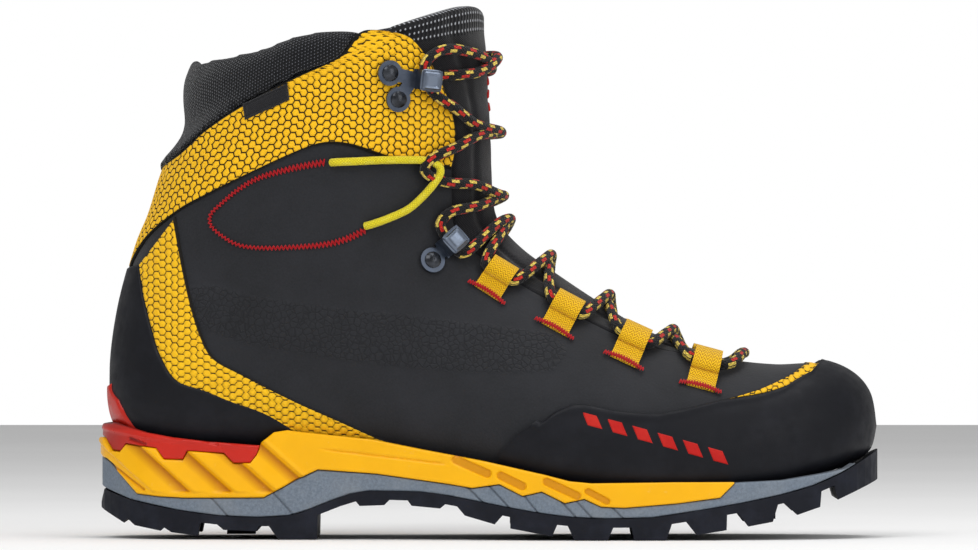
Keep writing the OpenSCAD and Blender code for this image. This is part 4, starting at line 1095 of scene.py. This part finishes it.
# [x, lateral half width, medial half width] of the sole, and lines of its side as [x, z]
SOLE = [
    [0.5, 0, 0], [2.2, 12, 12], [8, 22, 21.5], [18, 31.6, 31.2], [32, 37.4, 36.8], [50, 40.4, 39.8],
    [75, 41.9, 40.6], [100, 42.8, 40.4], [120, 45.8, 41.4], [140, 49.6, 42.8], [160, 53.5, 45.8],
    [180, 56.2, 49], [200, 57, 51.6], [220, 56, 53], [240, 53, 52.6], [258, 48.3, 50.2],
    [272, 42.8, 47], [284, 35.6, 43], [293.5, 26.5, 37], [299.5, 15, 28.5], [302.2, 3, 17.5],
    [302.6, -7, 7],
]
WEB_TOP = [[-2, 20.5], [12, 15], [31, 11], [47, 8.9], [62, 8.3], [74, 8.9], [82, 11.3],
           [90, 14.5], [97.5, 17.2], [105, 18.5], [124.5, 18.2], [136, 16.7], [160, 12],
           [171, 10.1], [183, 8.6], [197, 8.1], [214, 8.5], [233, 11.3], [249, 14],
           [264, 17.1], [276, 20.4], [287.5, 25.2], [295, 29.5], [306, 36]]
FRAME_LOW = [[-2, 33], [0.7, 31.7], [4, 29.5], [15.1, 17.3], [23.7, 16.3], [34, 15.8], [64.4, 16],
             [78, 23.4], [85.4, 26.8], [107.7, 25.2], [135.8, 21.3], [144.7, 19.8], [155.2, 21.3],
             [164.1, 16.8], [171.5, 18.5], [180.4, 14.1], [187.8, 15.7], [194.4, 12.7],
             [203.3, 12.3], [223.8, 14], [240.1, 16.1], [245.8, 21.7]]
FRAME_TOP = [[245.9, 22.1], [223, 22.1], [190.5, 21.7], [182, 22.5], [172.2, 25], [148.4, 30.3],
             [125.3, 34.6], [106.2, 38.4], [78, 41.3], [73.5, 41.9], [68.4, 41.1]]
INSERT_LOW = [[63.4, 37.1], [61.8, 32.5], [59.3, 29.2], [52.7, 29.2], [49.1, 33], [34.7, 33.8],
              [33.2, 30.5], [25.8, 30.5], [22.8, 34.8], [10.4, 36.3], [8.5, 33.2], [5, 33.5],
              [1.7, 38.6], [-2, 39]]
INSERT_TOP = [[-2, 43.9], [5.5, 44.6], [18.7, 40.9], [28.9, 39.1], [42, 37.6], [61.8, 36.1]]
MIDSOLE_TOE = [[246.4, 22.0], [264.7, 22.8], [281, 25.3], [289.8, 27.0], [294.9, 29.3]]


def outline(step):
    """Points and outward normals round the sole, from the toe along the lateral side and back."""
    fine = row(SOLE, np.linspace(0, len(SOLE) - 1, 900))
    lateral = np.stack([fine[:, 0], -fine[:, 1]], -1)[::-1]
    medial = np.stack([fine[:, 0], fine[:, 2]], -1)[1:]
    path = np.concatenate([lateral, medial])
    run = along(path)
    path = resampled(path, run, int(run[-1] / step))
    return path, left_of(headings(path))


RIM, RIM_OUT = outline(0.5)


def side_wall(name, low, high, end, relief, thick, look, rows):
    """Band of the sole's side up to x = `end` between two heights, with a relief drawn in (x, z)."""
    pick = RIM[:, 0] < end
    runs = np.flatnonzero(np.diff(np.concatenate([[0], pick.astype(int), [0]])))
    parts = []
    for a, b in zip(runs[::2], runs[1::2]):
        x, y = (np.repeat(RIM[a:b, k:k + 1], rows, 1) for k in (0, 1))
        bottom, top = low(x), high(x)
        z = bottom + (top - bottom) * np.linspace(0, 1, rows)[None]
        push = relief(x, z) - 0.7 * rounding(np.minimum(z - bottom, top - z), 0.9)
        outer, inner = (np.stack([x + RIM_OUT[a:b, :1] * out, y + RIM_OUT[a:b, 1:] * out, z], -1)
                        for out in (push, -thick))
        # The relief attribute also sets painted shade in the frame's and midsole's colours, darker where it
        # is low.
        parts.append(slab(name, outer.reshape(-1, 3), inner.reshape(-1, 3), quads_of(x), look,
                          {"relief": push.ravel()}, 30))
    return joined(name, parts) if len(parts) > 1 else parts[0]


def slot_cut(x, z, a, b, half, depth, soft=0.6):
    """Recess along the segment a-b drawn in the side view."""
    dx, dz = b[0] - a[0], b[1] - a[1]
    t = np.clip(((x - a[0]) * dx + (z - a[1]) * dz) / (dx * dx + dz * dz), 0, 1)
    return -depth * (1 - ease(np.hypot(x - a[0] - t * dx, z - a[1] - t * dz), half - soft, half))


def frame_relief(x, z):
    """Heel facets, slanted recesses along the arch and a chamfer where the frame rises."""
    shear = x + (z - 34) * 17.8 / 15.7
    saw = np.mod(shear - 4.1, 16.2) / 16.2
    zone = ease(71 - shear, 0, 1.5) * ease(shear, 2.5, 4.5) * ease(z, 17.4, 18.6)
    # Through the relief attribute each facet's low end near its crease is also darkened as painted shade.
    push = zone * np.interp(saw, [0, 0.82, 0.97, 1], [0.8, -1.3, 0.7, 0.8])
    for a, b, half in (((2.5, 30.5), (18, 18.8), 0.8), ((138.5, 30.6), (150.5, 25.4), 2.0),
                       ((155.8, 24.6), (164, 20.6), 1.9), ((173.5, 22.3), (185, 16.9), 1.9),
                       ((189.3, 18.6), (196.5, 14.8), 1.6)):
        push = push + slot_cut(x, z, a, b, half, 0.9)
    groove = bell(z, np.interp(x, [80, 130, 230], [35.4, 29.6, 17.6]), 0.45)
    push = push - 0.55 * groove * ease(x, 84, 92) * ease(x, 137, 131)
    return np.clip(push, -1.3, 0.8) + 0.3


def midsole_relief(x, z):
    """Thin diagonal grooves in the grey side of the midsole."""
    push = np.zeros_like(x)
    for a, b in (((36, 25), (52, 7)), ((62, 24.5), (77.5, 7.5)), ((139, 24), (152, 11)),
                 ((150, 22), (160, 11)), ((163, 19), (171, 9)), ((176, 18), (186, 7)),
                 ((182, 18), (192, 7)), ((194, 17), (205, 6))):
        push = push + slot_cut(x, z, a, b, 0.6, 0.5, 0.45)
    return np.maximum(push, -0.6) - 0.35


def insert_relief(x, z):
    push = 0.8 * ease(x, 2, 24) - 0.5 + 0.35 * bell(z, np.interp(x, [0, 20, 60], [42.5, 39.0, 35.6]), 0.8)
    for a in (12.5, 40.5):
        push = push + slot_cut(x, z, (a, 38.5), (a + 6, 36.4), 0.9, 0.7)
    return push


def midsole_frame():
    obj = side_wall("midsole_frame", line(FRAME_LOW), line(FRAME_TOP + INSERT_LOW), 245.5, frame_relief, 2.9,
                    FRAME_YELLOW, 44)
    rides(obj, "foot", "yellow_frame", "midsole_frame")


def midsole():
    top_line = line([[x, z - .15] for x, z in FRAME_LOW] + MIDSOLE_TOE)
    low_line = line(WEB_TOP)
    obj = side_wall("midsole", lambda x: low_line(x) + .05,
                    lambda x: np.maximum(top_line(x), low_line(x) + .4), 293.5, midsole_relief, 3.4,
                    MIDSOLE, 26)
    rides(obj, "foot", "midsole_foam", "midsole")


FIN_EDGE = [[19.5, 39.6], [17.4, 41.3], [13.6, 46.0], [11.3, 50.0], [9.5, 53.5], [6.6, 57.3]]


def heel_insert():
    """Red insert with the plate that stands up from it behind the heel."""
    name = "crampon_heel_insert"
    low = line([[x, z + .15] for x, z in INSERT_LOW])
    wall = side_wall(name, low, line(INSERT_TOP), 62.9, insert_relief, 1.8, INSERT_RED, 18)
    us = np.linspace(13.64, 14.76, 50)
    side_points = uv_at(FIN_EDGE, 1)
    width = np.interp(us, side_points[:, 0], 1 - side_points[:, 1])
    u, s = crossed(us, np.linspace(-1, 1, 61))
    uv = np.stack([u, 1 + s * width[:, None]], -1)
    rib = 0.5 * bell(np.abs(s), .35, .10) * (1 - (u - us[0]) / (us[-1] - us[0]))
    outer = 2.7 - 0.9 * rounding(edge_distance(spots(uv)), 1.2) + rib
    # Painted shade: through the relief attribute the fin is darker away from its ribs.
    fin = sheet(name, uv, outer, 1.2, INSERT_RED, {"relief": rib - 0.2}, 45)
    rides(joined(name, [wall, fin]), "foot", "red_insert", name)


def dressed(node, look, bevel=0.0):
    """A CAD part that keeps its shape: its finish, and small rounded edges."""
    obj = frame["nodes"][node]
    obj.data.materials.clear()
    obj.data.materials.append(look)
    if bevel:
        flat = obj.modifiers.new("flat", "DECIMATE")
        flat.decimate_type = "DISSOLVE"
        flat.angle_limit = math.radians(1.5)
        edge = obj.modifiers.new("edge", "BEVEL")
        edge.width = bevel / 1000
        edge.segments = 2
        edge.limit_method = "ANGLE"
        edge.angle_limit = math.radians(38)


# ------------------------------------------------------------ laces, loops, cords, stitching

# [x, z, turn in degrees] of each loop, and the lace's radius
LOOPS = [[154.8, 101.6, -33], [180.4, 87.8, -29], [206.6, 75.6, -25], [234.8, 66.0, -15]]
LACE_R = 2.05


def beside(spot, ahead, across, height):
    """[x, z, height] at a distance ahead of and across a spot's own direction."""
    x, z, turn = spot
    c, s = math.cos(math.radians(turn)), math.sin(math.radians(turn))
    return [x + ahead * c - across * s, z + ahead * s + across * c, height]


def loop_stop(i, ahead, side):
    return traced([beside(LOOPS[i], ahead, 0.0, 3.2)], side)[0].tolist()


def crossing(i, side, height):
    """Points of a crossing, from loop i on one side to the next loop on the other."""
    a, b = loop_stop(i, -8.6, side), loop_stop(i - 1, 8.6, -side)
    mid = [(a[0] + b[0]) / 2, 0, height]
    near, far = ([p[0] * .38 + mid[0] * .62, p[1] * .45, 2.9 + (height - 2.9) * .62] for p in (a, b))
    return [near, mid, far]


def strand(side, raised):
    """One half of the lace, from the middle of the toe end up to its tucked end."""
    over = [4.9, 2.2] if raised else [2.2, 4.9]
    path = [[4.62, 0, 3.4], [4.78, side * .13, 3.3]]
    here = side
    for step, i in enumerate((3, 2, 1, 0)):
        path += [loop_stop(i, ahead, here) for ahead in (7.0, 0.0, -7.0)]
        if i:
            path += crossing(i, here, over[step % 2])
            here = -here
    # `here` is the side of the last loop; the hook it runs to is on the other side
    top = [1.9, 4.5] if raised else [4.5, 1.9]
    hook = -here
    path += [[12.0, here * .06, top[0] * .8 + .6], [12.35, 0, top[0]], [12.8, hook * .09, 3.4]]
    path += traced([[141.5, 109.6, 3.0], [136.2, 113.6, 3.2], [132.0, 118.2, 3.2], [131.4, 122.6, 3.2],
                    [136.6, 127.0, 3.2], [145.9, 128.9, 3.1]], hook).tolist()
    path += [[16.45, 0, top[1]]]
    path += traced([[145.9, 136.0, 3.1], [134.5, 137.4, 3.3], [127.6, 139.6, 3.6], [124.9, 143.2, 4.0],
                    [128.6, 147.4, 4.2], [136.8, 151.4, 4.0], [145.0, 155.8, 3.4]], here).tolist()
    path += [[18.6, 0, top[0]]]
    path += traced([[145.0, 159.4, 3.4], [135.4, 166.4, 4.2], [127.6, 172.2, 4.7], [125.9, 177.4, 4.9],
                    [124.4, 182.0, 4.9], [127.2, 186.6, 4.6], [134.2, 189.0, 3.6], [143.4, 187.2, 3.4]],
                   hook).tolist()
    path += [[20.72 if raised else 20.42, 0, top[1] + .3]]
    path += traced([[145.5, 180.6, 3.2], [139, 179.2, 2.4], [133.6, 178.8, 0.2], [129.5, 178.6, -2.0]],
                   here).tolist()
    return path


def lace():
    """The whole lace as one braided piece."""
    parts = []
    sides, step = 16, 0.55
    for side, raised in ((-1, False), (1, True)):
        points, up = on_skin(even(strand(side, raised), step))
        for _ in range(3):
            up[1:-1] = (up[:-2] + up[1:-1] * 2 + up[2:]) / 4
        run = np.arange(len(points))[:, None] * step / PLAIT_PITCH
        turn = 5 * np.abs(np.linspace(0, 2, sides, endpoint=False) - 1)[None]
        plait = np.minimum(*(np.abs(np.sin(np.pi * wave)) for wave in (run + turn, run - turn)))
        parts.append(tube("lace", points, up, LACE_R * (0.975 + 0.05 * plait), LACE, sides))
    bends(joined("lace", parts), "lace", "lace_lower", "lace_upper")


def loop_profile():
    """Cross-section of a webbing loop: [across, height], from its sewn tail over the lace."""
    centre, r = 3.35, LACE_R + 0.95
    tail = [[-8.6, 0.7], [-7.6, 0.75], [-6.4, 0.8], [-5.3, 1.0], [-4.3, 1.7]]
    arch = [[r * math.cos(a), centre + r * math.sin(a)] for a in np.radians(np.linspace(196, -30, 16))]
    return curve(tail + arch + [[2.3, 0.9], [1.2, 0.4]], 64)


def lace_loops(side, name):
    profile = loop_profile()
    out = left_of(headings(profile))
    ahead = np.linspace(-5.6, 5.6, 26)
    pat = np.stack(crossed(along(profile), ahead)[::-1], -1)
    parts = []
    for spot in LOOPS:
        grids = ([beside(spot, a, *p) for p in profile + out * offset for a in ahead]
                 for offset in (0.45, -0.45))
        top, low = (on_skin(traced(grid, side))[0] for grid in grids)
        parts.append(slab(name, top, low, quads_of(pat), WEBBING, {"pat": pat.reshape(-1, 2)}, 60))
    rides(joined(name, parts), "foot", "webbing", name)


def zigzag(name, path, widths, pitch, radius, height, side):
    """Row of zigzag stitches along a side view path."""
    length = np.linalg.norm(np.diff(curve(path, 400), axis=0), axis=1).sum()
    count = int(length / pitch)
    p = curve(path, count)
    swing = np.where(np.arange(count) % 2, 1, -1)[:, None]
    w = np.interp(np.linspace(0, 1, count), np.linspace(0, 1, len(widths)), widths)[:, None]
    p = p + swing * w / 2 * left_of(headings(p))
    fine = [[*(a * (1 - f) + b * f), height + radius * 0.9 * math.sin(math.pi * f)]
            for a, b in zip(p[:-1], p[1:]) for f in np.linspace(0, 1, 5, endpoint=False)]
    return tube(name, *on_skin(traced(fine, side)), radius, RED_THREAD, 6)


def loop_stitching(side, name):
    parts = []
    for spot in LOOPS:
        ends = [beside(spot, a, -7.7 - 0.012 * a * a, 0)[:2] for a in (-8.4, -4, 0, 4, 8.4)]
        parts.append(zigzag(name, ends, [1.5, 2.0, 1.5], 0.5, 0.30, 1.2, side))
    rides(joined(name, parts), "foot", "thread", name)


STITCH_PATH = [[88.1, 145.1], [81, 143.9], [74.1, 142.4], [63.2, 139.3], [54.7, 134.6], [47.7, 128.8],
               [44.2, 125.3], [43.6, 122.6], [44.6, 120.0], [48.9, 116.4], [54.7, 113.3], [63.2, 112.1],
               [78, 112.5], [89.6, 113.7], [97.4, 116], [103.6, 119.1]]


def panel_stitching():
    name, widths = "panel_stitching", [2.7, 2.4, 1.8, 1.3, 1.2, 1.4, 1.8, 2.3, 2.7]
    parts = [zigzag(name, STITCH_PATH, widths, 0.75, 0.32, 0.30, side) for side in (-1, 1)]
    bends(joined(name, parts), "thread", name + "_lower", name + "_upper")


def ankle_cord(side, name):
    path = traced([[90.5, 145.0, 0.6], [93.5, 145.3, 2.5], [100, 145.6, 3.0], [108, 146.0, 3.0],
                   [118, 146.2, 3.1], [125, 146.0, 3.6], [129.0, 144.6, 4.4], [130.2, 141.6, 5.0],
                   [128.2, 137.2, 4.4], [124, 131.6, 3.2], [118.7, 127.0, 2.8], [111.5, 123.6, 2.6],
                   [106.2, 121.6, 2.3], [103.6, 120.6, 0.5]], side)
    bends(tube(name, *on_skin(even(path, 0.5)), 1.55, CORD), "cord", name)


HOOKS = (("instep", [132.6, 110.6, 43], 0.35, "foot"), ("cuff", [121.2, 177.6, -6], 1.55, "cuff"))


def hook_face(side, word):
    """Folded outer plate of each hook, with a bevelled rim round a shallow dish."""
    a, b = crossed(np.linspace(-1, 1, 19), np.linspace(-1, 1, 19))
    ahead, across = 5.1 + 4.5 * a * (1 - 0.10 * b ** 4), 4.3 * b * (1 - 0.10 * a ** 4)
    edge = np.minimum(4.5 * (1 - np.abs(a)), 4.3 * (1 - np.abs(b)))
    height = 8.6 - 1.5 * (1 - ease(edge, 0, 1.5)) - 0.35 * ease(edge, 1.6, 2.4)
    for kind, spot, rise, body in HOOKS:
        (centre, front), ups = on_skin(traced([beside(spot, 0, 0, 0), beside(spot, 3, 0, 0)], side))
        up = ups[0]
        forth = front - centre
        forth -= up * (forth @ up)
        forth /= np.linalg.norm(forth)
        flat = centre + ahead.reshape(-1, 1) * forth + across.reshape(-1, 1) * np.cross(up, forth)
        # The plates wear the lighter gunmetal copy, a painted highlight.
        plate = slab(kind + "_hook_face_" + word, flat + (height.reshape(-1, 1) + rise) * up,
                     flat + (6.5 + rise) * up, quads_of(a), HOOK_FACE_HIGHLIGHT, {}, 25)
        rides(plate, body, "gunmetal")


def softened(uv, height, drop):
    """Height of a small raised bar, less its rounded edges."""
    return height - drop * rounding(edge_distance(spots(uv)), 0.5)


def raised_bars():
    """Plain slanted bars on the toe rand, and on the tongue."""
    parts = []
    for side in (-1, 1):
        for i in range(6):
            x, z = 188 + 9.6 * i, 46.0 - 2.65 * i
            a = [[x - 1.0, z + 2.6], [x + 4.6, z + 1.1]]
            b = [[x + 1.2, z - 2.4], [x + 6.8, z - 3.9]]
            uv = ribbon(a, b, 14, 14, side)
            parts.append(sheet("rand_bars", uv, softened(uv, 2.55, 0.35), 1.9, MARK_RED, sharp=38))
    rides(joined("rand_bars", parts), "foot", "thread")
    parts = []
    for i in range(3):
        u, s = crossed(np.linspace(19.25 + .36 * i, 19.42 + .36 * i, 8), np.linspace(-.05, .05, 22))
        uv = np.stack([u + s, s], -1)
        top = softened(uv, tongue_height(u, s / tongue_edge(u)) + .65, 0.3)
        parts.append(sheet("tongue_badge", uv, top, top - 1.0, MARK_RED, sharp=38))
    rides(joined("tongue_badge", parts), "cuff", "badge", "tongue_badge")


def side_label():
    """Small blank woven tab."""
    uv = ribbon([[57.0, 167.6], [73.9, 175.6]], [[57.8, 161.4], [74.7, 169.2]], 40, 18, -1)
    edge = edge_distance(spots(uv))
    outer = 2.1 - 0.4 * rounding(edge, 0.6) - 0.25 * bell(edge, 1.1, 0.25)
    rides(sheet("side_label", uv, outer, 1.35, LABEL, sharp=38), "cuff", "tab", "side_label")


# ------------------------------------------------------------ the boot

upper_leather()
toe_rand()
heel_rand()
toe_strip()
for side, word in ((-1, "lateral"), (1, "medial")):
    collar_guard(side, "collar_guard_" + word)
    heel_strap(side, "heel_strap_" + word)
    gusset(side, "gusset_" + word)
    lace_loops(side, "lace_loops_" + word)
    loop_stitching(side, "loop_stitching_" + word)
    ankle_cord(side, "ankle_cord_" + word)
    dressed("instep_hook_" + word, GUNMETAL, 0.55)
    dressed("cuff_hook_" + word, GUNMETAL, 0.55)
    hook_face(side, word)
tongue()
lining()
footbed()
collar_pad()
midsole_frame()
midsole()
heel_insert()
lace()
panel_stitching()
raised_bars()
side_label()
dressed("outsole", OUTSOLE, 0.5)
dressed("instep_hook_rivets", RIVET, 0.15)
dressed("cuff_hook_rivets", RIVET, 0.15)
dressed("shank", SHANK)
for name in ("lasting_board", "heel_counter", "toe_puff"):
    dressed(name, STIFF)


# ------------------------------------------------------------ stage, light and camera

def placed(name, data, location, rotation):
    """A new object in the scene."""
    obj = bpy.data.objects.new(name, data)
    obj.location = location
    obj.rotation_euler = rotation
    bpy.context.scene.collection.objects.link(obj)
    return obj


def floor():
    """Plain pale floor, a hair below the tread."""
    k = Look("floor")
    look = k.done(k.mix(k.cloud(300, 2, 0.3, 0.7), rgb(246, 246, 246), rgb(250, 250, 250)), 0.9)
    mesh = bpy.data.meshes.new("floor")
    mesh.from_pydata([(-3, -3, 0), (3, -3, 0), (3, 3, 0), (-3, 3, 0)], [], [(0, 1, 2, 3)])
    mesh.materials.append(look)
    placed("floor", mesh, (0, 0, CAD_BOX[0][2] - 0.0003), (0, 0, 0))


def surroundings():
    """White to the camera, dimmer as a light."""
    sky = bpy.data.worlds.new("studio")
    sky.use_nodes = True
    tree = sky.node_tree
    back = tree.nodes["Background"]
    back.inputs[0].default_value = (1.0, 1.0, 1.0, 1)
    level = tree.nodes.new("ShaderNodeMapRange")
    tree.links.new(tree.nodes.new("ShaderNodeLightPath").outputs["Is Camera Ray"], level.inputs[0])
    level.inputs[3].default_value = 0.42
    level.inputs[4].default_value = 1.0
    tree.links.new(level.outputs[0], back.inputs[1])
    bpy.context.scene.world = sky


def lamps_and_camera():
    aim = Vector(world([151.3, -12, 101.7]))
    for name, place, size, power in (("key", (-0.5, -1.2, 1.25), 0.9, 10.5),
                                     ("top", (0.25, -0.1, 1.5), 1.1, 10.5),
                                     ("front", (1.0, -1.0, 0.5), 0.8, 4.5)):
        lamp = bpy.data.lights.new(name, "AREA")
        lamp.energy = power
        lamp.size = size
        place = Vector(place)
        placed(name, lamp, aim + place, (-place).to_track_quat("-Z", "Y").to_euler())
    distance, seen = 4.0, 0.3795
    lens = bpy.data.cameras.new("camera")
    lens.sensor_width = 36
    lens.lens = 36 * distance / seen
    camera = placed("camera", lens, aim - Vector((0, distance, 0)), (math.radians(90), 0, 0))
    bpy.context.scene.camera = camera
    bpy.context.scene.view_settings.view_transform = "Standard"


floor()
surroundings()
lamps_and_camera()
